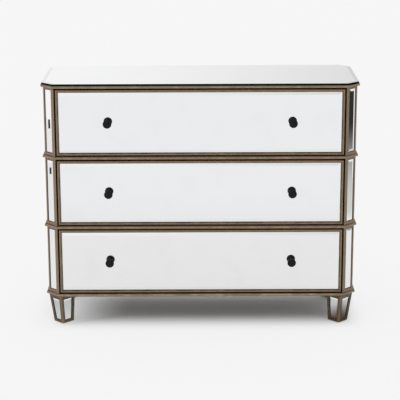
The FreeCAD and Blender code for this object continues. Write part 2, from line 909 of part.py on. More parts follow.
def main():
    """Build every piece and write one file for each."""
    os.makedirs("parts", exist_ok=True)
    pieces = {}
    pieces.update(case())
    pieces.update(legs())
    for level in range(len(drawer_names)):
        pieces.update(drawer(level))
    for name, shape in pieces.items():
        if not all(solid.isValid() for solid in shape.Solids):
            raise ValueError(name + " holds a solid that is not valid")
        shape.exportStep(os.path.join("parts", name + ".step"))
        print("%-28s %2d solids %12.0f mm3" % (name, len(shape.Solids), shape.Volume))
    bounds = Part.makeCompound(list(pieces.values())).optimalBoundingBox(False, False)
    print("%d nodes, %.1f x %.1f x %.1f mm" % (len(pieces), bounds.XLength, bounds.YLength,
                                             bounds.ZLength))
    print("middle at x %.3f, y %.3f, lowest z %.3f" % (
        (bounds.XMin + bounds.XMax) / 2, (bounds.YMin + bounds.YMax) / 2, bounds.ZMin))


main()
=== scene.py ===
"""Looks of a mirrored chest of drawers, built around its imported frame.

Metres, +Z up, the drawers face -Y and +X is to the viewer's right.
"""

import logging
import math
from dataclasses import dataclass
from enum import Enum
from typing import Sequence

import bmesh
import bpy
from mathutils import Matrix, Vector


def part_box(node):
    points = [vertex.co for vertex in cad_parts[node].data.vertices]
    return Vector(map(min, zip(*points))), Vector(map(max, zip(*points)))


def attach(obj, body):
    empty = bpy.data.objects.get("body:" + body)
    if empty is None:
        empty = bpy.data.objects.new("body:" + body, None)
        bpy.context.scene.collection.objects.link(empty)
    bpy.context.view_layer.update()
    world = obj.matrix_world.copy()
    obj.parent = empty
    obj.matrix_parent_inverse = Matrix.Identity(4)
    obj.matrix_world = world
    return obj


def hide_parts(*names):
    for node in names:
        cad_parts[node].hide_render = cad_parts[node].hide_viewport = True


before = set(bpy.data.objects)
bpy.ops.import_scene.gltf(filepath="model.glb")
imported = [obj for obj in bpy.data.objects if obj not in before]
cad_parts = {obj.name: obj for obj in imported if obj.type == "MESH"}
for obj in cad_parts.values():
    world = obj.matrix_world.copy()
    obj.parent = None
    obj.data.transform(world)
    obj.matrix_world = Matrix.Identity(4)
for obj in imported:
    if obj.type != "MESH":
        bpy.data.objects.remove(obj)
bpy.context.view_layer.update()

LOG = logging.getLogger("chest")
MM = 0.001
QUARTER_SAG = 1 - math.sqrt(0.5)     # bow of a quarter circle, as a share of its radius
WELD = 0.001 * MM
SHARP_ANGLE = math.radians(40)
EASED_ANGLE = math.radians(30)
LEVELS = ("lower", "middle", "upper")
# Dark wash and painted shade on the slope down to each let-in mirror.
SLOPE_GLAZE_AND_SHADE = 0.95
END_GLAZE = 0.6
MIX_FACTOR, MIX_FIRST, MIX_SECOND, MIX_RESULT = 0, 6, 7, 2
CLOUDS = (0.3, 0.7)                  # range in which nearly all of a noise's values lie
DUST_COLOUR = (0.5, 0.48, 0.44)
UP = Vector((0, 0, 1))
FORWARD = Vector((0, -1, 0))

Colour = tuple[float, float, float]
Span = tuple[float, float]
Socket = bpy.types.NodeSocket


class Side(Enum):
    """Left or right half of the chest, as the viewer sees it."""

    LEFT = -1
    RIGHT = 1


class End(Enum):
    """Front or rear of the chest."""

    FRONT = "front"
    REAR = "rear"


class Grain(Enum):
    """Scale of the grain along each axis, small where the fibres run."""

    ACROSS = (0.06, 1.0, 1.0)
    BACKWARDS = (1.0, 0.06, 1.0)
    UPRIGHT = (1.0, 1.0, 0.06)


class Graph:
    """Adds shader nodes to a tree and links them."""

    def __init__(self, tree: bpy.types.NodeTree) -> None:
        """Keep the tree that the nodes go into."""
        self.tree = tree

    @classmethod
    def emptied(cls, owner: bpy.types.Material | bpy.types.World) -> "Graph":
        """Clear the nodes of a new material or world.

        Args:
            owner: The material or world.

        Returns:
            Its graph, ready to be filled.
        """
        owner.use_nodes = True
        owner.node_tree.nodes.clear()
        return cls(owner.node_tree)

    def node(self, kind: str, **settings: object) -> bpy.types.Node:
        """Add one node.

        Args:
            kind: Type of the node.
            settings: Properties to set on it.

        Returns:
            The new node.
        """
        node = self.tree.nodes.new(kind)
        for name, value in settings.items():
            setattr(node, name, value)
        return node

    def feed(self, target: Socket, value: object) -> None:
        """Link a socket to another one, or set it to a constant.

        Args:
            target: Input to fill.
            value: An output socket, a number or a colour.
        """
        if isinstance(value, bpy.types.NodeSocket):
            self.tree.links.new(value, target)
        elif target.type == "RGBA":
            target.default_value = (*value, 1.0)
        else:
            target.default_value = value

    def noise(self, vector: Socket, scale: float, detail: float = 3.0) -> Socket:
        """Cloudy values between 0 and 1.

        Args:
            vector: Where to read the noise.
            scale: Clouds to a metre.
            detail: Number of finer layers.

        Returns:
            The value's socket.
        """
        node = self.node("ShaderNodeTexNoise")
        self.feed(node.inputs["Vector"], vector)
        self.feed(node.inputs["Scale"], scale)
        self.feed(node.inputs["Detail"], detail)
        return node.outputs["Fac"]

    def calculate(self, operation: str, first: object, second: object) -> Socket:
        """Combine two numbers.

        Args:
            operation: Name of the sum to do.
            first: Number or socket.
            second: Number or socket.

        Returns:
            The result's socket.
        """
        node = self.node("ShaderNodeMath", operation=operation)
        self.feed(node.inputs[0], first)
        self.feed(node.inputs[1], second)
        return node.outputs[0]

    def ramp(self, value: Socket, start: float, stop: float, low: object = 0.0,
             high: object = 1.0) -> Socket:
        """Turn one range of a value into another, eased and held at both ends.

        Args:
            value: Value to turn.
            start: Value that gives low.
            stop: Value that gives high.
            low: Result at start.
            high: Result at stop.

        Returns:
            The result's socket.
        """
        node = self.node("ShaderNodeMapRange", interpolation_type="SMOOTHSTEP")
        names = ("Value", "From Min", "From Max", "To Min", "To Max")
        for name, number in zip(names, (value, start, stop, low, high)):
            self.feed(node.inputs[name], number)
        return node.outputs[0]

    def blend(self, share: object, first: object, second: object) -> Socket:
        """Mix two colours.

        Args:
            share: How much of the second colour, 0 to 1.
            first: Colour or socket.
            second: Colour or socket.

        Returns:
            The mixed colour's socket.
        """
        node = self.node("ShaderNodeMix", data_type="RGBA")
        self.feed(node.inputs[MIX_FACTOR], share)
        self.feed(node.inputs[MIX_FIRST], first)
        self.feed(node.inputs[MIX_SECOND], second)
        return node.outputs[MIX_RESULT]

    def mix_shaders(self, share: Socket, first: Socket, second: Socket) -> Socket:
        """Mix two shaders.

        Args:
            share: How much of the second shader, 0 to 1.
            first: First shader.
            second: Second shader.

        Returns:
            The mixed shader's socket.
        """
        node = self.node("ShaderNodeMixShader")
        for socket, value in zip(node.inputs, (share, first, second)):
            self.feed(socket, value)
        return node.outputs[0]

    def stretched(self, vector: Socket, scale: Sequence[float]) -> Socket:
        """Scale a position by its own amount along each axis.

        Args:
            vector: The position.
            scale: Amount along X, Y and Z.

        Returns:
            The scaled position's socket.
        """
        node = self.node("ShaderNodeMapping")
        self.feed(node.inputs["Vector"], vector)
        node.inputs["Scale"].default_value = scale
        return node.outputs[0]

    def axes(self, vector: Socket) -> bpy.types.bpy_prop_collection:
        """Take a vector apart.

        Args:
            vector: The vector.

        Returns:
            Sockets that are found by the names X, Y and Z.
        """
        node = self.node("ShaderNodeSeparateXYZ")
        self.feed(node.inputs[0], vector)
        return node.outputs

    def position(self) -> Socket:
        """Place on the piece at rest, which moves with the piece."""
        return self.node("ShaderNodeTexCoord").outputs["Object"]

    def here(self) -> Socket:
        """Place in the studio."""
        return self.node("ShaderNodeNewGeometry").outputs["Position"]

    def steepness(self) -> Socket:
        """1 where the surface faces up, 0 on a wall."""
        return self.axes(self.node("ShaderNodeNewGeometry").outputs["Normal"])["Z"]

    def relief(self, height: Socket, depth: float) -> Socket:
        """Normal of a relief.

        Args:
            height: Height between 0 and 1.
            depth: Real depth in metres.

        Returns:
            The normal's socket.
        """
        node = self.node("ShaderNodeBump")
        self.feed(node.inputs["Distance"], depth)
        self.feed(node.inputs["Height"], height)
        return node.outputs[0]

    def dusted(self, dust: Socket, share: float, colour: Socket) -> Socket:
        """Lay dust over a colour.

        Args:
            dust: Where dust lies, 0 to 1.
            share: How much of the colour the thickest dust hides.
            colour: Colour below it.

        Returns:
            The dusty colour's socket.
        """
        return self.blend(self.calculate("MULTIPLY", dust, share), colour, DUST_COLOUR)


class Effect:
    """A node group with a position going in and masks coming out, built once."""

    name = "effect"
    outputs: tuple[str, ...] = ()

    def draw(self, graph: Graph, position: Socket) -> dict[str, Socket]:
        """Make the nodes of the group.

        Args:
            graph: Where the nodes go.
            position: The group's only input.

        Returns:
            The socket of each output, by name.
        """
        raise NotImplementedError

    def tree(self) -> bpy.types.NodeTree:
        """Find the group, or build it the first time."""
        found = bpy.data.node_groups.get(self.name)
        if found:
            return found
        tree = bpy.data.node_groups.new(self.name, "ShaderNodeTree")
        tree.interface.new_socket("Position", in_out="INPUT", socket_type="NodeSocketVector")
        for output in self.outputs:
            tree.interface.new_socket(output, in_out="OUTPUT", socket_type="NodeSocketFloat")
        graph = Graph(tree)
        source = graph.node("NodeGroupInput")
        sink = graph.node("NodeGroupOutput")
        made = self.draw(graph, source.outputs["Position"])
        for output in self.outputs:
            graph.feed(sink.inputs[output], made[output])
        return tree

    def place(self, graph: Graph, position: Socket) -> dict[str, Socket]:
        """Put the group into a material.

        Args:
            graph: The material's nodes.
            position: Where the effect is read.

        Returns:
            Its outputs by name.
        """
        node = graph.node("ShaderNodeGroup", node_tree=self.tree())
        graph.feed(node.inputs["Position"], position)
        return {output: node.outputs[output] for output in self.outputs}


class BrushMarks(Effect):
    """Streaks of a brush along X, cloudy tone, two patchy tints and fine dark specks."""

    name = "brush_marks"
    outputs = ("Streak", "Tone", "Patch", "Speck")
    streaks_per_metre = 700.0
    streak_stretch = (0.03, 1.0, 1.0)
    tones_per_metre = 26.0
    patches_per_metre = 55.0
    specks_per_metre = 520.0
    speck_span = (0.62, 0.72)

    def draw(self, graph: Graph, position: Socket) -> dict[str, Socket]:
        """Make the streaks, tones, patches and specks.

        Args:
            graph: Where the nodes go.
            position: Place along and around the painted strip.

        Returns:
            The four masks by name.
        """
        along = graph.stretched(position, self.streak_stretch)
        specks = graph.noise(position, self.specks_per_metre, detail=1.0)
        return {
            "Streak": graph.noise(along, self.streaks_per_metre, detail=2.0),
            "Tone": graph.noise(position, self.tones_per_metre, detail=3.0),
            "Patch": graph.noise(position, self.patches_per_metre, detail=2.0),
            "Speck": graph.ramp(specks, *self.speck_span),
        }


class WoodFigure(Effect):
    """Broad figure and fine pores of sawn wood; the position comes in stretched along the grain."""

    name = "wood_figure"
    outputs = ("Figure", "Pores")
    bands_per_metre = 60.0
    pores_per_metre = 900.0
    pore_span = (0.52, 0.7)

    def draw(self, graph: Graph, position: Socket) -> dict[str, Socket]:
        """Make the bands and the pores.

        Args:
            graph: Where the nodes go.
            position: Place on the board, stretched along the grain.

        Returns:
            The two masks by name.
        """
        pores = graph.noise(position, self.pores_per_metre, detail=2.0)
        return {
            "Figure": graph.noise(position, self.bands_per_metre, detail=5.0),
            "Pores": graph.ramp(pores, *self.pore_span),
        }


class Smudges(Effect):
    """Faint haze that hands and cloths leave on a polished face."""

    name = "smudges"
    outputs = ("Haze", "Grit")
    smears_per_metre = 11.0
    smear_span = (0.45, 0.8)
    grit_per_metre = 420.0

    def draw(self, graph: Graph, position: Socket) -> dict[str, Socket]:
        """Make broad smears and fine grit.

        Args:
            graph: Where the nodes go.
            position: Place on the piece.

        Returns:
            The two masks by name.
        """
        smears = graph.noise(position, self.smears_per_metre, detail=4.0)
        return {
            "Haze": graph.ramp(smears, *self.smear_span),
            "Grit": graph.noise(position, self.grit_per_metre, detail=2.0),
        }


class Dust(Effect):
    """Thin dust on what faces up."""

    name = "dust"
    outputs = ("Mask",)
    upward_span = (0.5, 1.0)
    flecks_per_metre = 180.0
    fleck_span = (0.4, 0.75)

    def draw(self, graph: Graph, position: Socket) -> dict[str, Socket]:
        """Let broken noise show where the normal points up.

        Args:
            graph: Where the nodes go.
            position: Place on the piece.

        Returns:
            The mask by name.
        """
        upward = graph.ramp(graph.steepness(), *self.upward_span)
        flecks = graph.ramp(graph.noise(position, self.flecks_per_metre, detail=4.0), *self.fleck_span)
        return {"Mask": graph.calculate("MULTIPLY", upward, flecks)}


@dataclass(frozen=True)
class Finish:
    """What a surface is made of; the material is made once for each name."""

    name: str

    def dress(self, graph: Graph, surface: bpy.types.Node) -> None:
        """Fill the sockets of the surface shader.

        Args:
            graph: The material's nodes.
            surface: Its Principled shader.
        """
        raise NotImplementedError

    def material(self) -> bpy.types.Material:
        """Find the material, or make it the first time."""
        found = bpy.data.materials.get(self.name)
        if found:
            return found
        material = bpy.data.materials.new(self.name)
        graph = Graph.emptied(material)
        surface = graph.node("ShaderNodeBsdfPrincipled")
        sink = graph.node("ShaderNodeOutputMaterial")
        graph.feed(sink.inputs["Surface"], surface.outputs["BSDF"])
        self.dress(graph, surface)
        return material


@dataclass(frozen=True)
class AgedPaint(Finish):
    """Bronze paint with dark wash and painted shade in corners and gaps, and worn arrises and painted
    highlights.

    The mesh says where: its glaze value is 1 in a corner and where shade is painted, 0 on a flat and below 0
    on a worn arris and where a highlight is painted.
    A span gives the values over which a colour comes in, and a share says how much of it.

    Attributes:
        follows_strip: Whether the brush ran along each strip, or along the piece's X axis.
        paint: Main colour; olive and reddish patches vary it.
        rubbed_and_highlight: Colour of the worn arrises, which also paints highlights on noses, on the lip
            and on the base's ledge.
        glaze_and_shade: Colour of the dark wash, of the painted shade and of the specks.
        cloudy_glaze: How much the glaze value wanders in clouds.
        streaky_glaze: How much it wanders in streaks.
        smooth: Roughness between the brush marks.
        dull: Roughness on them.
        metallic: How much the paint shines like metal.
        streak_depth: Depth of the brush marks.
    """

    follows_strip: bool = True
    paint: Colour = (0.245, 0.167, 0.100)
    olive: Colour = (0.180, 0.138, 0.080)
    olive_span: Span = (0.5, 0.75)
    reddish: Colour = (0.285, 0.172, 0.108)
    reddish_span: Span = (0.55, 0.75)
    reddish_share: float = 0.8
    rubbed_and_highlight: Colour = (0.470, 0.370, 0.250)
    rubbed_and_highlight_span: Span = (-0.15, -0.55)
    rubbed_and_highlight_share: float = 0.9
    glaze_and_shade: Colour = (0.035, 0.022, 0.013)
    glaze_and_shade_span: Span = (0.3, 0.85)
    cloudy_glaze: float = 0.14
    streaky_glaze: float = 0.1
    speck_share: float = 0.55
    dust_share: float = 0.12
    smooth: float = 0.36
    dull: float = 0.54
    metallic: float = 0.2
    streak_depth: float = 0.05 * MM

    def dress(self, graph: Graph, surface: bpy.types.Node) -> None:
        """Lay paint, rubbed arrises, glaze and specks over each other.

        Args:
            graph: The material's nodes.
            surface: Its Principled shader.
        """
        strip = graph.node("ShaderNodeAttribute", attribute_name="strip").outputs["Vector"]
        place = strip if self.follows_strip else graph.position()
        marks = BrushMarks().place(graph, place)
        dust = Dust().place(graph, place)
        # The glaze value paints dark wash and shade in corners and gaps, and worn arrises and highlights on
        # crests.
        depth = graph.node("ShaderNodeAttribute", attribute_name="glaze_and_shade").outputs["Fac"]
        uneven = graph.ramp(marks["Tone"], *CLOUDS, -self.cloudy_glaze, self.cloudy_glaze)
        broken = graph.ramp(marks["Streak"], *CLOUDS, -self.streaky_glaze, self.streaky_glaze)
        level = graph.calculate("ADD", graph.calculate("ADD", depth, uneven), broken)
        colour = graph.blend(graph.ramp(marks["Patch"], *self.olive_span), self.paint, self.olive)
        reddish = graph.ramp(marks["Tone"], *self.reddish_span, 0.0, self.reddish_share)
        colour = graph.blend(reddish, colour, self.reddish)
        # Worn arrises and painted highlights.
        rubbed_and_highlight = graph.ramp(level, *self.rubbed_and_highlight_span, 0.0, self.rubbed_and_highlight_share)
        colour = graph.blend(rubbed_and_highlight, colour, self.rubbed_and_highlight)
        # Dark wash and painted shade.
        colour = graph.blend(graph.ramp(level, *self.glaze_and_shade_span), colour, self.glaze_and_shade)
        specks = graph.calculate("MULTIPLY", marks["Speck"], self.speck_share)
        colour = graph.blend(specks, colour, self.glaze_and_shade)
        graph.feed(surface.inputs["Base Color"], graph.dusted(dust["Mask"], self.dust_share, colour))
        graph.feed(surface.inputs["Roughness"],
                   graph.ramp(marks["Streak"], *CLOUDS, self.smooth, self.dull))
        graph.feed(surface.inputs["Metallic"], self.metallic)
        graph.feed(surface.inputs["Normal"], graph.relief(marks["Streak"], self.streak_depth))


@dataclass(frozen=True)
class SilveredGlass(Finish):
    """Silvered mirror glass with a faint haze; a free edge shows its green body.

    Attributes:
        silver: Colour where it is clean.
        grey: Colour under the thickest haze.
        body: Colour that its edge shows.
        free_edge: Whether its edge stands free.
        edge_span: Steepness over which the edge's colour comes in.
        clean: Roughness where it is clean.
        hazy: Roughness under the thickest haze.
    """

    silver: Colour = (0.890, 0.893, 0.897)
    grey: Colour = (0.868, 0.871, 0.875)
    body: Colour = (0.006, 0.012, 0.009)
    free_edge: bool = False
    edge_span: Span = (0.6, 0.3)
    clean: float = 0.012
    hazy: float = 0.05

    def dress(self, graph: Graph, surface: bpy.types.Node) -> None:
        """Vary tint and gloss by smudges, and darken an edge that stands free.

        Args:
            graph: The material's nodes.
            surface: Its Principled shader.
        """
        smudges = Smudges().place(graph, graph.position())
        colour = graph.blend(smudges["Haze"], self.silver, self.grey)
        if self.free_edge:
            upright = graph.ramp(graph.steepness(), *self.edge_span)
            colour = graph.blend(upright, colour, self.body)
        graph.feed(surface.inputs["Base Color"], colour)
        graph.feed(surface.inputs["Roughness"],
                   graph.ramp(smudges["Haze"], 0.0, 1.0, self.clean, self.hazy))
        graph.feed(surface.inputs["Metallic"], 1.0)


@dataclass(frozen=True)
class GritFinish(Finish):
    """Even finish whose tone, gloss and relief vary with fine grit.

    Attributes:
        base: Its main colour.
        marked: Colour where the grit is strongest.
        marked_span: Grit values over which that colour comes in.
        smooth: Roughness between the grit.
        dull: Roughness on the grit.
        depth: Depth of the relief.
        metallic: 1 for bare metal.
        sheen: Strength of the shine of what isn't metal.
    """

    base: Colour
    marked: Colour
    marked_span: Span
    smooth: float
    dull: float
    depth: float
    metallic: float = 0.0
    sheen: float = 0.5

    def dress(self, graph: Graph, surface: bpy.types.Node) -> None:
        """Vary colour, gloss and relief by grit.

        Args:
            graph: The material's nodes.
            surface: Its Principled shader.
        """
        grit = Smudges().place(graph, graph.position())["Grit"]
        graph.feed(surface.inputs["Base Color"],
                   graph.blend(graph.ramp(grit, *self.marked_span), self.base, self.marked))
        graph.feed(surface.inputs["Roughness"], graph.ramp(grit, *CLOUDS, self.smooth, self.dull))
        graph.feed(surface.inputs["Metallic"], self.metallic)
        graph.feed(surface.inputs["Specular IOR Level"], self.sheen)
        graph.feed(surface.inputs["Normal"], graph.relief(grit, self.depth))


@dataclass(frozen=True)
class Wood(Finish):
    """Sawn or stained wood with figure, pores and a thin finish.

    Attributes:
        light: Colour of the paler bands.
        dark: Colour of the darker bands.
        grain: Way that the fibres run.
        roughness: Roughness between the pores.
        pore_roughness: How much rougher the pores are.
        pore_share: How much of their colour the pores show.
        pore_tone: Tone of the pores, as a share of the darker bands'.
        pore_depth: Depth of the pores.
        dust_share: How much of the colour the thickest dust hides.
    """

    light: Colour
    dark: Colour
    grain: Grain
    roughness: float = 0.5
    pore_roughness: float = 0.2
    pore_share: float = 0.45
    pore_tone: float = 0.45
    pore_depth: float = 0.06 * MM
    dust_share: float = 0.1

    def dress(self, graph: Graph, surface: bpy.types.Node) -> None:
        """Lay figure and pores along the grain.

        Args:
            graph: The material's nodes.
            surface: Its Principled shader.
        """
        along = graph.stretched(graph.position(), self.grain.value)
        wood = WoodFigure().place(graph, along)
        dust = Dust().place(graph, graph.position())
        colour = graph.blend(graph.ramp(wood["Figure"], *CLOUDS), self.light, self.dark)
        pores = graph.calculate("MULTIPLY", wood["Pores"], self.pore_share)
        colour = graph.blend(pores, colour, tuple(channel * self.pore_tone for channel in self.dark))
        graph.feed(surface.inputs["Base Color"], graph.dusted(dust["Mask"], self.dust_share, colour))
        graph.feed(surface.inputs["Roughness"],
                   graph.ramp(wood["Pores"], 0.0, 1.0, self.roughness, self.roughness + self.pore_roughness))
        graph.feed(surface.inputs["Normal"],
                   graph.relief(graph.calculate("SUBTRACT", 1.0, wood["Pores"]), self.pore_depth))


BRONZE = AgedPaint("aged_bronze_paint")
BRONZE_BOARD = AgedPaint("aged_bronze_paint_on_boards", follows_strip=False)
MIRROR = SilveredGlass("silvered_mirror")
TOP_MIRROR = SilveredGlass("silvered_top_mirror", free_edge=True)
KNOB_BLACK = GritFinish("satin_black_lacquer", (0.004, 0.004, 0.005), (0.014, 0.013, 0.012), (0.4, 0.75),
                        smooth=0.20, dull=0.34, depth=0.012 * MM, sheen=0.15)
STEEL = GritFinish("zinc_plated_steel", (0.60, 0.60, 0.58), (0.42, 0.42, 0.40), (0.35, 0.7),
                   smooth=0.25, dull=0.45, depth=0.02 * MM, metallic=1.0)
NYLON = GritFinish("black_nylon", (0.022, 0.022, 0.022), (0.085, 0.083, 0.080), (0.5, 0.75),
                   smooth=0.5, dull=0.7, depth=0.04 * MM)
POPLAR = ((0.56, 0.42, 0.27), (0.43, 0.30, 0.18))
HARDWOOD = ((0.46, 0.33, 0.20), (0.35, 0.24, 0.14))
SIDE_WOOD = Wood("drawer_side_poplar", *POPLAR, Grain.BACKWARDS, 0.42)
BACK_WOOD = Wood("drawer_back_poplar", *POPLAR, Grain.ACROSS, 0.42)
PLY = Wood("drawer_bottom_ply", (0.60, 0.47, 0.31), (0.50, 0.37, 0.23), Grain.ACROSS, 0.45)
RUNNER_WOOD = Wood("waxed_runner_wood", *HARDWOOD, Grain.BACKWARDS)
RAIL_WOOD = Wood("waxed_rail_wood", *HARDWOOD, Grain.ACROSS)
DARK_BOARD = Wood("stained_board", (0.050, 0.034, 0.022), (0.034, 0.023, 0.015), Grain.ACROSS)
BACK_BOARD = Wood("stained_back_board", (0.130, 0.095, 0.066), (0.085, 0.060, 0.042), Grain.UPRIGHT, 0.58)


@dataclass(frozen=True)
class Mark:
    """A corner of a section.

    Attributes:
        out: Distance out of the line that the section follows.
        up: Height above that line.
        glaze_and_shade: 1 where dark wash gathers and where shade is painted, 0 on a flat, below 0 on a worn
            arris and where a highlight is painted.
        sag: How far the stretch to the next mark bows out; below 0 it is hollow.
    """

    out: float
    up: float
    glaze_and_shade: float = 0.0
    sag: float = 0.0


def bowed(start: Mark, stop: Mark, steps: int) -> list[Mark]:
    """Points from one mark up to the next, without the last.

    Args:
        start: First mark, whose sag is used.
        stop: Next mark.
        steps: Number of stretches that a bow is drawn with.

    Returns:
        The points.
    """
    if not start.sag:
        return [start]
    chord = math.hypot(stop.out - start.out, stop.up - start.up)
    along = ((stop.out - start.out) / chord, (stop.up - start.up) / chord)
    outward = (along[1], -along[0])
    depth = abs(start.sag)
    radius = (chord * chord / 4 + depth * depth) / (2 * depth)
    half_angle = math.asin(min(1.0, chord / 2 / radius))
    points = []
    for step in range(steps):
        share = step / steps
        angle = (2 * share - 1) * half_angle
        forward = chord / 2 + radius * math.sin(angle)
        bow = math.copysign(radius * math.cos(angle) - (radius - depth), start.sag)
        points.append(Mark(start.out + along[0] * forward + outward[0] * bow,
                           start.up + along[1] * forward + outward[1] * bow,
                           start.glaze_and_shade + (stop.glaze_and_shade - start.glaze_and_shade) * share))
    return points


@dataclass(frozen=True)
class Section:
    """Outline of a moulding or a turning, counter-clockwise, with its sharp corners eased.

    Attributes:
        marks: Its corners.
        closed: Whether the last mark joins up with the first.
        easing: Radius of the small round at a sharp corner.
        widest_eased: Sharpest turn that the round's reach allows for.
        steps: Number of stretches that a bow is drawn with.
    """

    marks: tuple[Mark, ...]
    closed: bool = True
    easing: float = 0.3 * MM
    widest_eased: float = math.radians(120)
    steps: int = 8

    def points(self) -> list[Mark]:
        """Draw every bow and ease every sharp corner.

        Returns:
            The points of the outline in order.
        """
        drawn: list[Mark] = []
        last = len(self.marks) if self.closed else len(self.marks) - 1
        for index in range(last):
            drawn += bowed(self.marks[index], self.marks[(index + 1) % len(self.marks)], self.steps)
        if not self.closed:
            drawn.append(self.marks[-1])
        eased: list[Mark] = []
        for index, mark in enumerate(drawn):
            if not self.closed and index in (0, len(drawn) - 1):
                eased.append(mark)
            else:
                eased += self.ease(drawn[index - 1], mark, drawn[(index + 1) % len(drawn)])
        return eased

    def ease(self, before: Mark, corner: Mark, after: Mark) -> list[Mark]:
        """Replace a sharp corner by three points of a small round.

        Args:
            before: Point before the corner.
            corner: The corner.
            after: Point after the corner.

        Returns:
            Three points, or the corner alone where the outline hardly turns.
        """
        arriving = Vector((corner.out - before.out, corner.up - before.up))
        leaving = Vector((after.out - corner.out, after.up - corner.up))
        turn = abs(arriving.angle_signed(leaving))
        reach = self.easing * math.tan(min(turn, self.widest_eased) / 2)
        if turn < EASED_ANGLE or 2 * reach > min(arriving.length, leaving.length):
            return [corner]
        start = Vector((corner.out, corner.up)) - arriving.normalized() * reach
        stop = Vector((corner.out, corner.up)) + leaving.normalized() * reach
        middle = (start + stop) / 4 + Vector((corner.out, corner.up)) / 2
        return [Mark(place.x, place.y, corner.glaze_and_shade) for place in (start, middle, stop)]


class Draft:
    """A mesh being drawn, with the glaze value, which also paints shade and highlights, and the strip's own
    measures kept at each point.
    """

    def __init__(self, name: str, place: Matrix = Matrix.Identity(4)) -> None:
        """Start an empty mesh.

        Args:
            name: Name of the piece.
            place: Turns or mirrors everything that is drawn.
        """
        self.name = name
        self.place = place
        self.mesh = bmesh.new()
        self.glaze_and_shade = self.mesh.verts.layers.float.new("glaze_and_shade")
        self.strip = self.mesh.verts.layers.float_vector.new("strip")

    def point(self, where: Vector, glaze_and_shade: float = 0.0,
              strip: Sequence[float] = (0.0, 0.0, 0.0)) -> bmesh.types.BMVert:
        """Add a point.

        Args:
            where: Its place.
            glaze_and_shade: Its glaze value, which also paints shade and highlights.
            strip: Distance along, distance around and a number of its own for the strip.

        Returns:
            The new vertex.
        """
        vertex = self.mesh.verts.new(self.place @ where)
        vertex[self.glaze_and_shade] = glaze_and_shade
        vertex[self.strip] = strip
        return vertex

    def face(self, *corners: bmesh.types.BMVert) -> None:
        """Add a face through three or more points."""
        self.mesh.faces.new(corners)

    def bridge(self, first: Sequence[bmesh.types.BMVert], second: Sequence[bmesh.types.BMVert],
               closed: bool = True) -> None:
        """Join two rows of points by faces.

        Args:
            first: One row.
            second: The other row, of the same length.
            closed: Whether the rows are rings.
        """
        count = len(first)
        for index in range(count if closed else count - 1):
            after = (index + 1) % count
            self.face(first[index], first[after], second[after], second[index])

    def finish(self, body: str, finish: Finish, slot: str, nodes: Sequence[str]) -> bpy.types.Object:
        """Turn the drawing into a piece of the chest.

        Args:
            body: Body that the piece rides on.
            finish: Its finish.
            slot: The record's material slot; not used.
            nodes: CAD nodes that it stands for.

        Returns:
            The new object.
        """
        bmesh.ops.remove_doubles(self.mesh, verts=self.mesh.verts, dist=WELD)
        bmesh.ops.recalc_face_normals(self.mesh, faces=self.mesh.faces)
        for face in self.mesh.faces:
            face.smooth = True
        for edge in self.mesh.edges:
            edge.smooth = edge.calc_face_angle(0.0) < SHARP_ANGLE
        mesh = bpy.data.meshes.new(self.name)
        self.mesh.to_mesh(mesh)
        self.mesh.free()
        mesh.materials.append(finish.material())
        piece = bpy.data.objects.new(self.name, mesh)
        bpy.context.scene.collection.objects.link(piece)
        normals = piece.modifiers.new("even_normals", "WEIGHTED_NORMAL")
        normals.keep_sharp = True
        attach(piece, body)
        if nodes:
            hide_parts(*nodes)
        LOG.info("%s rides on %s: %d faces", self.name, body, len(mesh.polygons))
        return piece


def dress_node(node: str, finish: Finish) -> None:
    """Give a CAD node a finish.

    Args:
        node: Name of the node.
        finish: What it is made of.
    """
    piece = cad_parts[node]
    for slot in piece.material_slots:
        slot.material = finish.material()
    LOG.info("%s keeps its shape, finished in %s", node, finish.name)


def solids_of(node: str) -> list[tuple[Vector, Vector]]:
    """Boxes of the separate solids of a CAD node.

    Args:
        node: Name of the node.

    Returns:
        Lowest and highest corner of each solid.
    """
    copy = bmesh.new()
    copy.from_mesh(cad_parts[node].data)
    bmesh.ops.remove_doubles(copy, verts=copy.verts, dist=WELD)
    unseen = set(copy.verts)
    boxes = []
    while unseen:
        found = [unseen.pop()]
        for vertex in found:
            for edge in vertex.link_edges:
                other = edge.other_vert(vertex)
                if other in unseen:
                    unseen.remove(other)
                    found.append(other)
        places = [vertex.co for vertex in found]
        boxes.append((Vector(min(p[axis] for p in places) for axis in range(3)),
                      Vector(max(p[axis] for p in places) for axis in range(3))))
    copy.free()
    return sorted(boxes, key=lambda box: tuple(round(value, 5) for value in box[0]))


def rows_of(node: str) -> list[Span]:
    """Heights at which the solids of a CAD node lie.

    Args:
        node: Name of the node.

    Returns:
        Lower and upper edge of each row, from the bottom up.
    """
    return sorted({(round(low.z, 6), round(high.z, 6)) for low, high in solids_of(node)})


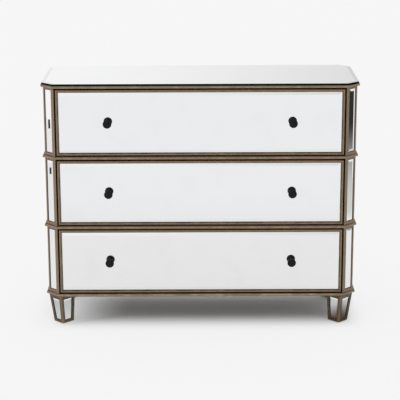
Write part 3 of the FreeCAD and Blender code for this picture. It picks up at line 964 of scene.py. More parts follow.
@dataclass(frozen=True)
class Run:
    """A closed outline that mouldings follow.

    Attributes:
        corners: Its corners, counter-clockwise seen against up.
        up: Direction in which the section stands up.
        joint: Gap that each strip leaves at a mitre.
    """

    corners: tuple[Vector, ...]
    up: Vector
    joint: float = 0.04 * MM

    def along(self, edge: int) -> Vector:
        """Direction of one edge."""
        count = len(self.corners)
        return (self.corners[(edge + 1) % count] - self.corners[edge % count]).normalized()

    def across(self, edge: int) -> Vector:
        """Direction out of the outline at one edge."""
        return self.along(edge).cross(self.up)

    def mitre(self, corner: int) -> Vector:
        """Way from a corner to the same corner of the outline one metre further out."""
        before, after = self.across(corner - 1), self.across(corner)
        return (before + after) / (1 + before.dot(after))

    def draw(self, draft: Draft, edge: int, section: Section, tail: bool = False) -> None:
        """Draw the strip that follows one edge, cut off at its mitres.

        Args:
            draft: Mesh to draw in.
            edge: Number of the edge.
            section: The strip's section.
            tail: Whether what lies inside the outline ends square.
        """
        start = self.corners[edge % len(self.corners)]
        stop = self.corners[(edge + 1) % len(self.corners)]
        along, across = self.along(edge), self.across(edge)
        length = (stop - start).length
        marks = section.points()
        around = 0.0
        rows: tuple[list[bmesh.types.BMVert], list[bmesh.types.BMVert]] = ([], [])
        for index, mark in enumerate(marks):
            if index:
                around += math.hypot(mark.out - marks[index - 1].out, mark.up - marks[index - 1].up)
            mitred = max(mark.out, 0.0) if tail else mark.out
            for row, corner, turn, inset, run in (
                    (rows[0], start, self.mitre(edge), self.joint, 0.0),
                    (rows[1], stop, self.mitre(edge + 1), -self.joint, length)):
                shift = (turn - across) * mitred + along * inset
                where = corner + across * mark.out + self.up * mark.up + shift
                row.append(draft.point(where, mark.glaze_and_shade, (run + shift.dot(along), around, edge)))
        draft.bridge(*rows)
        draft.face(*rows[0])
        draft.face(*rows[1])


@dataclass(frozen=True)
class CasePlan:
    """Main sizes of the case, read from the frame.

    Attributes:
        half_width: Middle of the chest to the outside of a post.
        half_opening: Middle of the chest to a post's side that faces the drawers.
        front: Place of the posts' front along Y.
        back: Place of their back.
        post_depth: Front to back of one post.
        floor: Height of the bottom board's upper face.
        ceiling: Height of the posts' upper ends.
    """

    half_width: float
    half_opening: float
    front: float
    back: float
    post_depth: float
    floor: float
    ceiling: float

    @classmethod
    def from_frame(cls) -> "CasePlan":
        """Measure the bottom board and a post."""
        board_low, board_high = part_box("bottom_board")
        post_low, post_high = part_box("front_right_post")
        return cls(board_high.x, post_low.x, board_low.y, board_high.y,
                   post_high.y - board_low.y, board_high.z, post_high.z)

    def run(self, height: float, overhang: float = 0.0, cut: float | None = None) -> Run:
        """Outline of the case with its corners cut off.

        Args:
            height: Its height above the floor.
            overhang: How far it stands outside the posts.
            cut: Length cut off each side at a corner; that of the posts if left out.

        Returns:
            The outline, starting with the front edge's left end.
        """
        cut = self.half_width - self.half_opening if cut is None else cut
        x, y0, y1 = self.half_width + overhang, self.front - overhang, self.back + overhang
        plan = ((cut - x, y0), (x - cut, y0), (x, y0 + cut), (x, y1 - cut),
                (x - cut, y1), (cut - x, y1), (-x, y1 - cut), (-x, y0 + cut))
        return Run(tuple(Vector((px, py, height)) for px, py in plan), UP)

    def corner_place(self, side: Side, end: End) -> Matrix:
        """Mirror that carries what is drawn at the right front corner to another corner.

        Args:
            side: Half of the chest that the other corner is in.
            end: Whether it is at the front.

        Returns:
            The matrix.
        """
        flip = Matrix.Diagonal((side.value, 1 if end is End.FRONT else -1, 1, 1))
        shift = 0.0 if end is End.FRONT else self.front + self.back
        return Matrix.Translation((0, shift, 0)) @ flip

    def corner_axes(self) -> tuple[Vector, Vector, Vector]:
        """Middle of the right front cut corner, the way along it and the way out of it."""
        half_cut = (self.half_width - self.half_opening) / 2
        middle = Vector((self.half_width - half_cut, self.front + half_cut, 0))
        return middle, Vector((1, 1, 0)).normalized(), Vector((1, -1, 0)).normalized()


@dataclass(frozen=True)
class Mouldings:
    """Nosed rails and mouldings round the case, and the moulded edge of the top.

    Attributes:
        plan: Main sizes of the case.
        cove_foot: Thickness of the cove's upper edge.
        quirk: Height of the small step between nose and cove.
        cove_quirk: Cove behind the nose at that step.
        cove_hollow: Depth of the cove below a straight slope.
        lip_width: Width of the strips round the top board.
        lip_corner_cut: Length that the lip's corners cut off each side.
        lip_rounding: Round of the lip's lower edge.
        wrapped_edges: Edges of the case's outline with a moulding: all but front and back.
        nose_glaze_and_shading: Glaze at the nose's back, painted shade on its lower edge, a painted
            highlight on its tip, and glaze at its upper edge.
        cove_glaze_and_shading: Glaze and painted shade from the quirk up to the post.
        lip_glaze_and_shading: Glaze at the lip's marks, from below to above, with painted shade on its
            underside and beside the glass and a painted highlight on its front.
        ledge_light_and_shade: Glaze on top of each nosed front piece, from its edge to the back, with
            painted light on the base's and painted shade at the back of the rails'.
    """

    plan: CasePlan
    cove_foot: float = 0.8 * MM
    quirk: float = 1.2 * MM
    cove_quirk: float = 0.8 * MM
    cove_hollow: float = 1.3 * MM
    lip_width: float = 46.0 * MM
    lip_corner_cut: float = 45.0 * MM
    lip_rounding: float = 3.2 * MM
    wrapped_edges: tuple[int, ...] = (1, 2, 3, 5, 6, 7)
    # Painted shade on the nose's lower edge, a painted highlight on its tip.
    nose_glaze_and_shading: tuple[float, ...] = (0.9, 0.65, -0.25, 0.0)
    # Dark wash and painted shade in the quirk above the nose.
    cove_glaze_and_shading: tuple[float, ...] = (1.0, 0.75, -0.1, 0.5)
    # Painted shade under the lip and beside the glass, a painted highlight on its front.
    lip_glaze_and_shading: tuple[float, ...] = (0.5, 0.3, -0.3, 0.15, 0.85, 0.9)
    # Painted light on the base's ledge; painted shade at the back of the rails' ledges, under the drawers.
    ledge_light_and_shade: tuple[Span, ...] = ((-0.3, -0.35), (0.0, 0.45), (0.0, 0.6))

    def nose(self, projection: float, height: float, tail: float) -> tuple[Mark, ...]:
        """Half-round nose from its lower to its upper edge.

        Args:
            projection: How far it stands out.
            height: Its height.
            tail: How far it runs back into the case.

        Returns:
            The marks of its section.
        """
        radius = height / 2
        bow = radius * QUARTER_SAG
        back, lower, tip, upper = self.nose_glaze_and_shading
        return (Mark(-tail, 0, back), Mark(projection - radius, 0, lower, bow),
                Mark(projection, radius, tip, bow), Mark(projection - radius, height, upper))

    def wrapping(self, projection: float, height: float, full_height: float) -> Section:
        """Nose with a hollow cove above it.

        Args:
            projection: How far the nose stands out.
            height: Height of the nose.
            full_height: Height with the cove.

        Returns:
            The section.
        """
        foot = projection - self.cove_quirk - height / 4
        step = height + self.quirk
        corner, low, high, against = self.cove_glaze_and_shading
        cove = (Mark(projection - height / 2, step, corner), Mark(foot, step, low, -self.cove_hollow),
                Mark(self.cove_foot, full_height, high), Mark(0, full_height, against))
        return Section(self.nose(projection, height, 0.0) + cove)

    def build_wrap(self, node: str, front_node: str, ledge_light_and_shade: Span) -> None:
        """Mouldings and the nosed front of one height.

        Args:
            node: CAD node of the moulding round corners and sides.
            front_node: CAD node of the nosed piece in front.
            ledge_light_and_shade: Painted light and shade at the front and the back of the nosed piece's
                top.
        """
        low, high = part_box(node)
        front_low, front_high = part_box(front_node)
        projection = high.x - self.plan.half_width
        height = front_high.z - front_low.z
        run = self.plan.run(low.z)
        wrap = Draft(node + "_profiled")
        for edge in self.wrapped_edges:
            run.draw(wrap, edge, self.wrapping(projection, height, high.z - low.z))
        wrap.finish("case", BRONZE, "bronze_trim", [node])
        tail = front_high.y - self.plan.front
        front = Draft(front_node + "_profiled")
        ledge_edge_shading, ledge_back_shading = ledge_light_and_shade
        ledge = (Mark(projection - height / 2, height, ledge_edge_shading), Mark(-tail, height, ledge_back_shading))
        run.draw(front, 0, Section(self.nose(projection, height, tail)[:-1] + ledge), tail=True)
        front.finish("case", BRONZE, "bronze_trim", [front_node])

    def build_lip(self) -> None:
        """Eight strips round the top board."""
        low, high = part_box("top_edge_moulding")
        height = high.z - low.z
        upper = self.lip_rounding / 2
        glaze_and_shading_values = self.lip_glaze_and_shading
        section = Section((
            Mark(-self.lip_width, 0, glaze_and_shading_values[0]),
            Mark(-self.lip_rounding, 0, glaze_and_shading_values[1], self.lip_rounding * QUARTER_SAG),
            Mark(0, self.lip_rounding, glaze_and_shading_values[2]),
            Mark(0, height - upper, glaze_and_shading_values[3], upper * QUARTER_SAG),
            Mark(-upper, height, glaze_and_shading_values[4]),
            Mark(-self.lip_width, height, glaze_and_shading_values[5]),
        ))
        run = self.plan.run(low.z, high.x - self.plan.half_width, self.lip_corner_cut)
        lip = Draft("top_edge_profiled")
        for edge in range(len(run.corners)):
            run.draw(lip, edge, section)
        lip.finish("case", BRONZE, "bronze_trim", ["top_edge_moulding"])

    def build(self) -> None:
        """All mouldings."""
        nodes = (("base_moulding", "base_front_moulding"), ("lower_moulding", "lower_front_rail"),
                 ("upper_moulding", "upper_front_rail"))
        for (wrap, front), glaze_and_shading_values in zip(nodes, self.ledge_light_and_shade):
            self.build_wrap(wrap, front, glaze_and_shading_values)
        self.build_lip()


@dataclass(frozen=True)
class Beading:
    """Beading round a pane: rounded outside, hollow towards the glass.

    Attributes:
        width: Its width.
        height: Its height.
        shoulder: Radius of its outer edge.
        crest: Flat along its top.
        inner_height: Height where it meets the pane.
        hollow: Depth of the hollow below a straight slope.
        outer_glaze_and_shading: Glaze and painted shade at the foot on both sides, where it faces the gaps,
            then glaze at the shoulder and the crest.
        hollow_glaze_and_shading: Glaze at the outer and the inner edge of the hollow, for each strip, with
            painted shade darkest on the lower strip and lightest on the upper one.
    """

    width: float = 10.0 * MM
    height: float = 7.0 * MM
    shoulder: float = 3.0 * MM
    crest: float = 2.0 * MM
    inner_height: float = 3.6 * MM
    hollow: float = 1.09 * MM
    # Painted shade on the foot, which faces the gaps, and in the hollows: darkest on the lower strip,
    # lightest on the upper one.
    outer_glaze_and_shading: tuple[float, ...] = (1.0, 0.45, -0.1)
    hollow_glaze_and_shading: tuple[Span, ...] = ((0.32, 0.98), (0.15, 0.8), (0.0, 0.62), (0.15, 0.8))

    def section(self, hollow_glaze_and_shade: Span) -> Section:
        """Section of the beading, with its outer edge on the outline.

        Args:
            hollow_glaze_and_shade: Glaze and painted shade at the outer and the inner edge of the hollow.

        Returns:
            The section.
        """
        foot, shoulder, crest = self.outer_glaze_and_shading
        return Section((
            Mark(0, 0, foot),
            Mark(0, self.height - self.shoulder, shoulder, self.shoulder * QUARTER_SAG),
            Mark(-self.shoulder, self.height, crest),
            Mark(-self.shoulder - self.crest, self.height, hollow_glaze_and_shade[0], -self.hollow),
            Mark(-self.width, self.inner_height, hollow_glaze_and_shade[1]),
            Mark(-self.width, 0, foot),
        ))

    def draw(self, draft: Draft, corners: Sequence[Vector], forward: Vector) -> None:
        """Draw the four strips of one frame.

        Args:
            draft: Mesh to draw in.
            corners: Outline at the beading's back, counter-clockwise seen from the front.
            forward: Direction that the frame faces.
        """
        run = Run(tuple(corners), forward)
        for edge in range(len(corners)):
            run.draw(draft, edge, self.section(self.hollow_glaze_and_shading[edge]))


@dataclass(frozen=True)
class Step:
    """One step of the wood round a let-in mirror.

    Attributes:
        inset: Distance in from the edge of the flat wood.
        depth: Depth below it.
        glaze_and_shade: Its glaze value, which also paints shade.
    """

    inset: float
    depth: float
    glaze_and_shade: float


@dataclass(frozen=True)
class Upright:
    """An upright arris, from its lower to its upper end."""

    low: Vector
    high: Vector
    glaze_and_shade: float = 0.0

    def at(self, share: float) -> Vector:
        """Place at a share of the height."""
        return self.low.lerp(self.high, share)


class Timber:
    """An upright piece drawn wall by wall, with mirrors let into some of its walls."""

    def __init__(self, draft: Draft, openings: Sequence[Span]) -> None:
        """Start with no walls.

        Args:
            draft: Mesh to draw in.
            openings: Lower and upper edge of each opening, as shares of the height.
        """
        self.draft = draft
        self.openings = openings
        self.rows = sorted({0.0, 1.0, *(share for pair in openings for share in pair)})
        self.low_ring: list[Vector] = []
        self.high_ring: list[Vector] = []
        self.around = 0.0

    def column(self, upright: Upright, around: float) -> list[bmesh.types.BMVert]:
        """Points up one arris, one for each row.

        Args:
            upright: The arris.
            around: Distance round the piece at which it stands.

        Returns:
            The new vertices from the bottom up.
        """
        height = (upright.high - upright.low).length
        return [self.draft.point(upright.at(row), upright.glaze_and_shade, (row * height, around, 0.0))
                for row in self.rows]

    def wall(self, first: Upright, second: Upright) -> None:
        """Plain wall between two arrises.

        Args:
            first: Arris at its left, seen from outside.
            second: Arris at its right.
        """
        width = (second.low - first.low).length
        self.draft.bridge(self.column(first, self.around), self.column(second, self.around + width),
                          closed=False)
        self.around += width
        self.low_ring.append(first.low)
        self.high_ring.append(first.high)

    def panel(self, first: Upright, second: Upright, stiles: Span, steps: Sequence[Step]) -> None:
        """Wall with an opening in each mirror's row.

        Args:
            first: Arris at its left, seen from outside.
            second: Arris at its right.
            stiles: Flat wood between each arris and the openings.
            steps: How the wood goes down to the mirror.
        """
        across = (second.low - first.low).normalized()
        outward = across.cross(first.high - first.low).normalized()
        left = Upright(first.low + across * stiles[0], first.high + across * stiles[0],
                       steps[0].glaze_and_shade)
        right = Upright(second.low - across * stiles[1], second.high - across * stiles[1],
                        steps[0].glaze_and_shade)
        uprights = (first, left, right, second)
        columns = [self.column(upright, self.around + (upright.low - first.low).length)
                   for upright in uprights]
        for row, rows in enumerate(zip(self.rows, self.rows[1:])):
            is_open = rows in self.openings
            for index in range(len(columns) - 1):
                if is_open and index == 1:
                    continue
                self.draft.face(columns[index][row], columns[index + 1][row],
                                columns[index + 1][row + 1], columns[index][row + 1])
            if is_open:
                self.sink((left, right), rows, across, outward, steps)
        self.around += (second.low - first.low).length
        self.low_ring += [first.low, left.low, right.low]
        self.high_ring += [first.high, left.high, right.high]

    def sink(self, edges: tuple[Upright, Upright], rows: Span, across: Vector, outward: Vector,
             steps: Sequence[Step]) -> None:
        """Draw one opening down to its floor.

        Args:
            edges: Its left and right edge on the flat wood.
            rows: Its lower and upper edge, as shares of the height.
            across: Way from left to right.
            outward: Way out of the wall.
            steps: How the wood goes down.
        """
        left, right = edges
        height = (left.high - left.low).length
        rings = []
        for step in steps:
            low_row = rows[0] + step.inset / height
            high_row = rows[1] - step.inset / height
            ring = []
            for upright, sign, row in ((left, 1, low_row), (right, -1, low_row),
                                       (right, -1, high_row), (left, 1, high_row)):
                where = upright.at(row) + across * step.inset * sign - outward * step.depth
                strip = (row * height, self.around + where.dot(across), 1.0)
                ring.append(self.draft.point(where, step.glaze_and_shade, strip))
            rings.append(ring)
        for outer, inner in zip(rings, rings[1:]):
            self.draft.bridge(outer, inner)
        self.draft.face(*rings[-1])

    def enclose(self, arrises: Sequence[Sequence[Upright]], panels: dict[int, Span],
                steps: Sequence[Step]) -> None:
        """Draw all walls and both ends.

        Args:
            arrises: The uprights of each rounded arris, in order round the piece.
            panels: Stiles of each wall with openings, by the number of the arris before it.
            steps: How the wood goes down to a mirror.
        """
        for index, arris in enumerate(arrises):
            for first, second in zip(arris, arris[1:]):
                self.wall(first, second)
            first, second = arris[-1], arrises[(index + 1) % len(arrises)][0]
            if index in panels:
                self.panel(first, second, panels[index], steps)
            else:
                self.wall(first, second)
        for ring in (self.low_ring, self.high_ring):
            self.draft.face(*(self.draft.point(place, END_GLAZE) for place in ring))


def rounded(before: Vector, corner: Vector, after: Vector, radius: float,
            steps: int = 4) -> list[Vector]:
    """Round a corner of a level outline.

    Args:
        before: Corner before it.
        corner: The corner itself.
        after: Corner after it.
        radius: Radius of the round.
        steps: Number of stretches of the arc.

    Returns:
        Points of the arc, from tangent to tangent.
    """
    arriving = (corner - before).normalized()
    leaving = (after - corner).normalized()
    half_turn = arriving.angle(leaving) / 2
    start = corner - arriving * radius * math.tan(half_turn)
    centre = start + UP.cross(arriving) * radius
    swing = start - centre
    return [centre + Matrix.Rotation(2 * half_turn * step / steps, 3, "Z") @ swing
            for step in range(steps + 1)]


def rounded_outline(corners: Sequence[Vector], radii: Sequence[float]) -> list[list[Vector]]:
    """Round every corner of a level outline.

    Args:
        corners: Its corners in order.
        radii: Radius at each corner.

    Returns:
        Points of the arc at each corner.
    """
    count = len(corners)
    return [rounded(corners[index - 1], corners[index], corners[(index + 1) % count], radius)
            for index, radius in enumerate(radii)]


def let_in(slope: float, slope_depth: float, glass: float, rim_glaze_and_shade: float) -> tuple[Step, ...]:
    """Slope and pocket round a mirror.

    Args:
        slope: Width of the sloping wood.
        slope_depth: How far it goes down.
        glass: Depth of the pocket below it.
        rim_glaze_and_shade: Glaze and painted shade where the flat wood ends.

    Returns:
        The steps from the flat wood to the pocket's floor.
    """
    return (Step(0.0, 0.0, rim_glaze_and_shade), Step(slope, slope_depth, SLOPE_GLAZE_AND_SHADE),
            Step(slope, slope_depth + glass, 1.0))


@dataclass(frozen=True)
class CornerPosts:
    """The four posts behind the cut corners, each with three mirrors let in.

    Attributes:
        plan: Main sizes of the case.
        mirror_width: Width of the glass.
        mirror_offset: How far the mirrors stand nearer to the side than to the drawers.
        slope: Width of the sloping wood round a mirror.
        slope_depth: How far it goes down.
        glass: Thickness of the glass.
        arris_radii: Round of each arris: beside the drawers, beside the side, and two inside.
        arris_glaze_and_shading: Glaze across each of these rounds, with painted shade beside the drawers and
            a painted highlight beside the side.
        rim_glaze_and_shade: Glaze and painted shade where the flat wood ends.
    """

    plan: CasePlan
    mirror_width: float = 32.5 * MM
    mirror_offset: float = 4.75 * MM
    slope: float = 3.0 * MM
    slope_depth: float = 1.5 * MM
    glass: float = 3.0 * MM
    arris_radii: tuple[float, ...] = (0.8 * MM, 4.0 * MM, 0.5 * MM, 0.5 * MM)
    # Painted shade on the arris beside the drawers, which faces the gap; worn arris and painted highlight
    # beside the side.
    arris_glaze_and_shading: tuple[tuple[float, ...], ...] = ((1.0, 0.8, 0.6, 0.4, 0.2), (-0.35,) * 5,
                                                   (-0.35,) * 5, (1.0,) * 5)
    rim_glaze_and_shade: float = 0.3

    def openings(self) -> list[Span]:
        """Rows of the openings, as shares of a post's height."""
        foot, height = self.plan.floor, self.plan.ceiling - self.plan.floor
        return [((low - self.slope - foot) / height, (high + self.slope - foot) / height)
                for low, high in rows_of("front_post_mirrors")]

    def outline(self, height: float) -> list[list[Vector]]:
        """Rounds of the right front post at one height, drawer side first.

        Args:
            height: Height above the floor.

        Returns:
            Points of each round.
        """
        x0, x1 = self.plan.half_opening, self.plan.half_width
        y0, y1 = self.plan.front, self.plan.front + self.plan.post_depth
        plan = ((x0, y0), (x1, y0 + x1 - x0), (x1, y1), (x0, y1))
        return rounded_outline([Vector((x, y, height)) for x, y in plan], self.arris_radii)

    def build_one(self, side: Side, end: End) -> None:
        """Draw one post.

        Args:
            side: Half of the chest that it stands in.
            end: Whether it is a front post.
        """
        node = f"{end.value}_{side.name.lower()}_post"
        draft = Draft(node + "_carved", self.plan.corner_place(side, end))
        arrises = [[Upright(low, high, glaze_and_shade) for low, high, glaze_and_shade in zip(lows, highs, glaze_and_shading_values)]
                   for lows, highs, glaze_and_shading_values in zip(self.outline(self.plan.floor),
                                                  self.outline(self.plan.ceiling), self.arris_glaze_and_shading)]
        middle, along, _ = self.plan.corner_axes()
        first, second = arrises[0][-1], arrises[1][0]
        half = self.mirror_width / 2 + self.slope
        centre = (middle - first.low).dot(along) + self.mirror_offset
        stiles = (centre - half, (second.low - first.low).length - centre - half)
        steps = let_in(self.slope, self.slope_depth, self.glass, self.rim_glaze_and_shade)
        Timber(draft, self.openings()).enclose(arrises, {0: stiles}, steps)
        draft.finish("case", BRONZE, "bronze_trim", [node])

    def build(self) -> None:
        """All four posts and their mirrors."""
        for end in End:
            for side in Side:
                self.build_one(side, end)
            dress_node(end.value + "_post_mirrors", MIRROR)


@dataclass(frozen=True)
class Legs:
    """The four tapered legs, square and turned 45 degrees, with mirrors in three faces.

    Attributes:
        plan: Main sizes of the case.
        top_width: Width at the top.
        inset: Outer face behind the cut corner, at the top.
        outer_slope: How far the outer face comes in at the foot.
        side_slope: How far each side face comes in at the foot.
        arris: Radius of every arris.
        stile: Flat wood and arris beside a mirror's slope.
        top_rail: Flat wood above it.
        bottom_rail: Flat wood below it.
        slope: Width of the sloping wood round a mirror.
        slope_depth: How far it goes down.
        glass: Thickness of the glass.
        mirrored_faces: Numbers of the faces with a mirror, the outer face first.
        arris_glaze_and_shading: Glaze and painted shade on each arris.
        rim_glaze_and_shade: Glaze and painted shade where the flat wood ends.
    """

    plan: CasePlan
    top_width: float = 68.0 * MM
    inset: float = 3.0 * MM
    outer_slope: float = 14.5 * MM
    side_slope: float = 8.5 * MM
    arris: float = 2.0 * MM
    stile: float = 10.0 * MM
    top_rail: float = 15.0 * MM
    bottom_rail: float = 8.0 * MM
    slope: float = 3.0 * MM
    slope_depth: float = 1.5 * MM
    glass: float = 2.6 * MM
    mirrored_faces: tuple[int, ...] = (0, 1, 3)
    # Painted shade: the legs' arrises and rims are darker than the posts', as the legs stand low and face
    # down.
    arris_glaze_and_shading: tuple[float, ...] = (0.40, 0.66, 0.66, 0.66)
    rim_glaze_and_shade: float = 0.62

    def outline(self, height: float, low: bool) -> list[list[Vector]]:
        """Rounded corners of the right front leg at its foot or its top.

        Args:
            height: Height of the outline.
            low: Whether it is the foot.

        Returns:
            The rounds, starting left of the outer face.
        """
        middle, along, outward = self.plan.corner_axes()
        half = self.top_width / 2 - (self.side_slope if low else 0.0)
        face = middle - outward * (self.inset + (self.outer_slope if low else 0.0))
        rear = middle - outward * (self.inset + self.top_width)
        corners = [face - along * half, face + along * half, rear + along * half, rear - along * half]
        corners = [Vector((corner.x, corner.y, height)) for corner in corners]
        return rounded_outline(corners, [self.arris] * len(corners))

    def build_one(self, side: Side, end: End) -> None:
        """Draw one leg.

        Args:
            side: Half of the chest that it stands in.
            end: Whether it is a front leg.
        """
        node = f"{end.value}_{side.name.lower()}_leg"
        low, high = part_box(node)
        height = high.z - low.z
        draft = Draft(node + "_carved", self.plan.corner_place(side, end))
        timber = Timber(draft, [(self.bottom_rail / height, 1 - self.top_rail / height)])
        arrises = [[Upright(a, b, glaze_and_shade) for a, b in zip(lows, highs)] for lows, highs, glaze_and_shade
                   in zip(self.outline(low.z, True), self.outline(high.z, False), self.arris_glaze_and_shading)]
        flat = self.stile - self.arris
        timber.enclose(arrises, {face: (flat, flat) for face in self.mirrored_faces},
                       let_in(self.slope, self.slope_depth, self.glass, self.rim_glaze_and_shade))
        draft.finish("case", BRONZE, "bronze_trim", [node])

    def build(self) -> None:
        """All four legs, their mirrors, fixings and glides."""
        for end in End:
            for side in Side:
                self.build_one(side, end)
        dress_node("leg_mirrors", MIRROR)
        dress_node("leg_glides", NYLON)
        dress_node("leg_bolts", STEEL)
        dress_node("leg_tee_nuts", STEEL)


def turned(draft: Draft, section: Section, centre: Vector, axis: Vector, around: int = 64) -> None:
    """Turn a section round an axis.

    Args:
        draft: Mesh to draw in.
        section: Open section; its out is the radius and its up the way along the axis.
        centre: Where the axis starts.
        axis: Its direction.
        around: Number of flats to a full turn.
    """
    side = axis.orthogonal().normalized()
    rings = []
    for mark in section.points():
        middle = centre + axis * mark.up
        if mark.out < WELD:
            rings.append([draft.point(middle, mark.glaze_and_shade)] * around)
            continue
        rings.append([draft.point(middle + Matrix.Rotation(math.tau * step / around, 3, axis)
                                  @ side * mark.out, mark.glaze_and_shade) for step in range(around)])
    for first, second in zip(rings, rings[1:]):
        for step in range(around):
            corners = dict.fromkeys((first[step], first[(step + 1) % around],
                                     second[(step + 1) % around], second[step]))
            draft.face(*corners)


@dataclass(frozen=True)
class Screw:
    """Pan-head screw with a cross recess.

    Attributes:
        head_radius: Radius of the head.
        head_height: Height of the head.
        shank_radius: Radius of the shank.
        length: Length below the head.
        recess_depth: Depth of the cross.
        flat_share: Radius of the head's flat, as a share of the head's.
        wall_share: Height of the head's upright wall, as a share of the head's.
        arm_share: Length of the cross's arms, as a share of the flat's radius.
        arm_half_share: Half an arm's width, as a share of the flat's radius.
        floor_share: Size of the cross at its floor, as a share of its size at the top.
        easing: Round of the sharp corners.
        around: Number of flats to a full turn.
    """

    head_radius: float
    head_height: float
    shank_radius: float
    length: float
    recess_depth: float = 0.9 * MM
    flat_share: float = 0.72
    wall_share: float = 0.35
    arm_share: float = 0.78
    arm_half_share: float = 0.17
    floor_share: float = 0.6
    easing: float = 0.1 * MM
    around: int = 32

    def draw(self, draft: Draft, seat: Vector, outward: Vector) -> None:
        """Draw the screw.

        Args:
            draft: Mesh to draw in.
            seat: Middle of the surface that the head sits on.
            outward: Way out of that surface.
        """
        flat = self.head_radius * self.flat_share
        bow = (self.head_radius - flat) * QUARTER_SAG * 2
        marks = (Mark(0, -self.length), Mark(self.shank_radius, -self.length + self.shank_radius),
                 Mark(self.shank_radius, 0), Mark(self.head_radius, 0),
                 Mark(self.head_radius, self.head_height * self.wall_share, 0.0, bow),
                 Mark(flat, self.head_height))
        turned(draft, Section(marks, closed=False, easing=self.easing), seat, outward, self.around)
        self.cut_recess(draft, seat + outward * self.head_height, outward, flat)

    def cut_recess(self, draft: Draft, top: Vector, outward: Vector, flat: float) -> None:
        """Draw the flat of the head round a cross, and the cross down to its floor.

        Args:
            draft: Mesh to draw in.
            top: Middle of the flat.
            outward: Way out of it.
            flat: Radius of the flat.
        """
        side = outward.orthogonal().normalized()
        across = outward.cross(side)
        rim = [draft.point(top + Matrix.Rotation(math.tau * step / self.around, 3, outward)
                           @ side * flat) for step in range(self.around)]
        arm, half = flat * self.arm_share, flat * self.arm_half_share
        quarter = ((half, -arm), (half, -half), (arm, -half))
        turns = [Matrix.Rotation(math.tau * step / 4, 3, outward) for step in range(4)]
        rings = []
        for depth, share in ((0.0, 1.0), (self.recess_depth, self.floor_share)):
            plan = [turn @ (side * x * share + across * y * share) for turn in turns
                    for x, y in quarter]
            rings.append([draft.point(top + place - outward * depth, 1.0) for place in plan])
        edges = []
        for ring in (rim, rings[0]):
            edges += [draft.mesh.edges.new((ring[i - 1], ring[i])) for i in range(len(ring))]
        bmesh.ops.triangle_fill(draft.mesh, edges=edges, use_beauty=True, normal=outward)
        draft.bridge(rings[0], rings[1])
        draft.face(*rings[1])

    def build(self, node: str, body: str, seat: float) -> None:
        """Replace a node by screws that are driven in from behind.

        Args:
            node: The CAD node.
            body: Body that it rides on.
            seat: Place along Y of the surface that the heads sit on.
        """
        draft = Draft(node + "_crossed")
        for low, high in solids_of(node):
            self.draw(draft, Vector(((low.x + high.x) / 2, seat, (low.z + high.z) / 2)), -FORWARD)
        draft.finish(body, STEEL, "bright_steel", [node])


@dataclass(frozen=True)
class Boards:
    """Plain boards with eased edges, as large as a CAD node's solids.

    Attributes:
        easing: Round of the edges.
        easing_share: Most that it may be, as a share of the board's thickness.
        segments: Number of flats of the round.
        end_gap: How far a drawer bottom stays clear of the front and the back.
    """

    easing: float = 1.0 * MM
    easing_share: float = 0.2
    segments: int = 2
    end_gap: float = 0.2 * MM

    def build(self, node: str, body: str, finish: Finish, slot: str) -> None:
        """Replace a node by eased boards.

        Args:
            node: The CAD node.
            body: Body that it rides on.
            finish: What the boards are made of.
            slot: The record's material slot.
        """
        draft = Draft(node + "_eased")
        for low, high in solids_of(node):
            size = high - low
            if node.endswith("_bottom"):
                size.y -= 2 * self.end_gap
            shape = Matrix.Translation((low + high) / 2) @ Matrix.Diagonal((*size, 1.0))
            made = bmesh.ops.create_cube(draft.mesh, size=1.0, matrix=shape)
            edges = {edge for vertex in made["verts"] for edge in vertex.link_edges}
            bmesh.ops.bevel(draft.mesh, geom=list(edges), affect="EDGES", segments=self.segments,
                            offset=min(self.easing, min(size) * self.easing_share), profile=0.5)
        draft.finish(body, finish, slot, [node])


@dataclass(frozen=True)
class Knob:
    """Turned knob: a foot, a waisted stem and a domed face.

    A radius is measured from the axis and a reach along it. A hollow or a bow is the depth of the
    curve that starts there, from a straight line.
    """

    foot_radius: float = 8.0 * MM
    foot_height: float = 2.5 * MM
    neck_radius: float = 5.5 * MM
    neck_reach: float = 9.0 * MM
    flare_radius: float = 10.55 * MM
    flare_reach: float = 18.35 * MM
    radius: float = 15.6 * MM
    rim_reach: float = 25.5 * MM
    dome_radius: float = 13.4 * MM
    dome_reach: float = 27.4 * MM
    reach: float = 31.0 * MM
    foot_hollow: float = 0.58 * MM
    neck_hollow: float = 1.36 * MM
    flare_hollow: float = 0.67 * MM
    rim_bow: float = 0.72 * MM
    dome_bow: float = 0.92 * MM

    def section(self) -> Section:
        """Section of the knob from its foot to its face."""
        return Section((
            Mark(0, 0),
            Mark(self.foot_radius, 0),
            Mark(self.foot_radius, self.foot_height, 0.0, -self.foot_hollow),
            Mark(self.neck_radius, self.neck_reach, 0.0, -self.neck_hollow),
            Mark(self.flare_radius, self.flare_reach, 0.0, -self.flare_hollow),
            Mark(self.radius, self.rim_reach, 0.0, self.rim_bow),
            Mark(self.dome_radius, self.dome_reach, 0.0, self.dome_bow),
            Mark(0, self.reach),
        ), closed=False, steps=10)


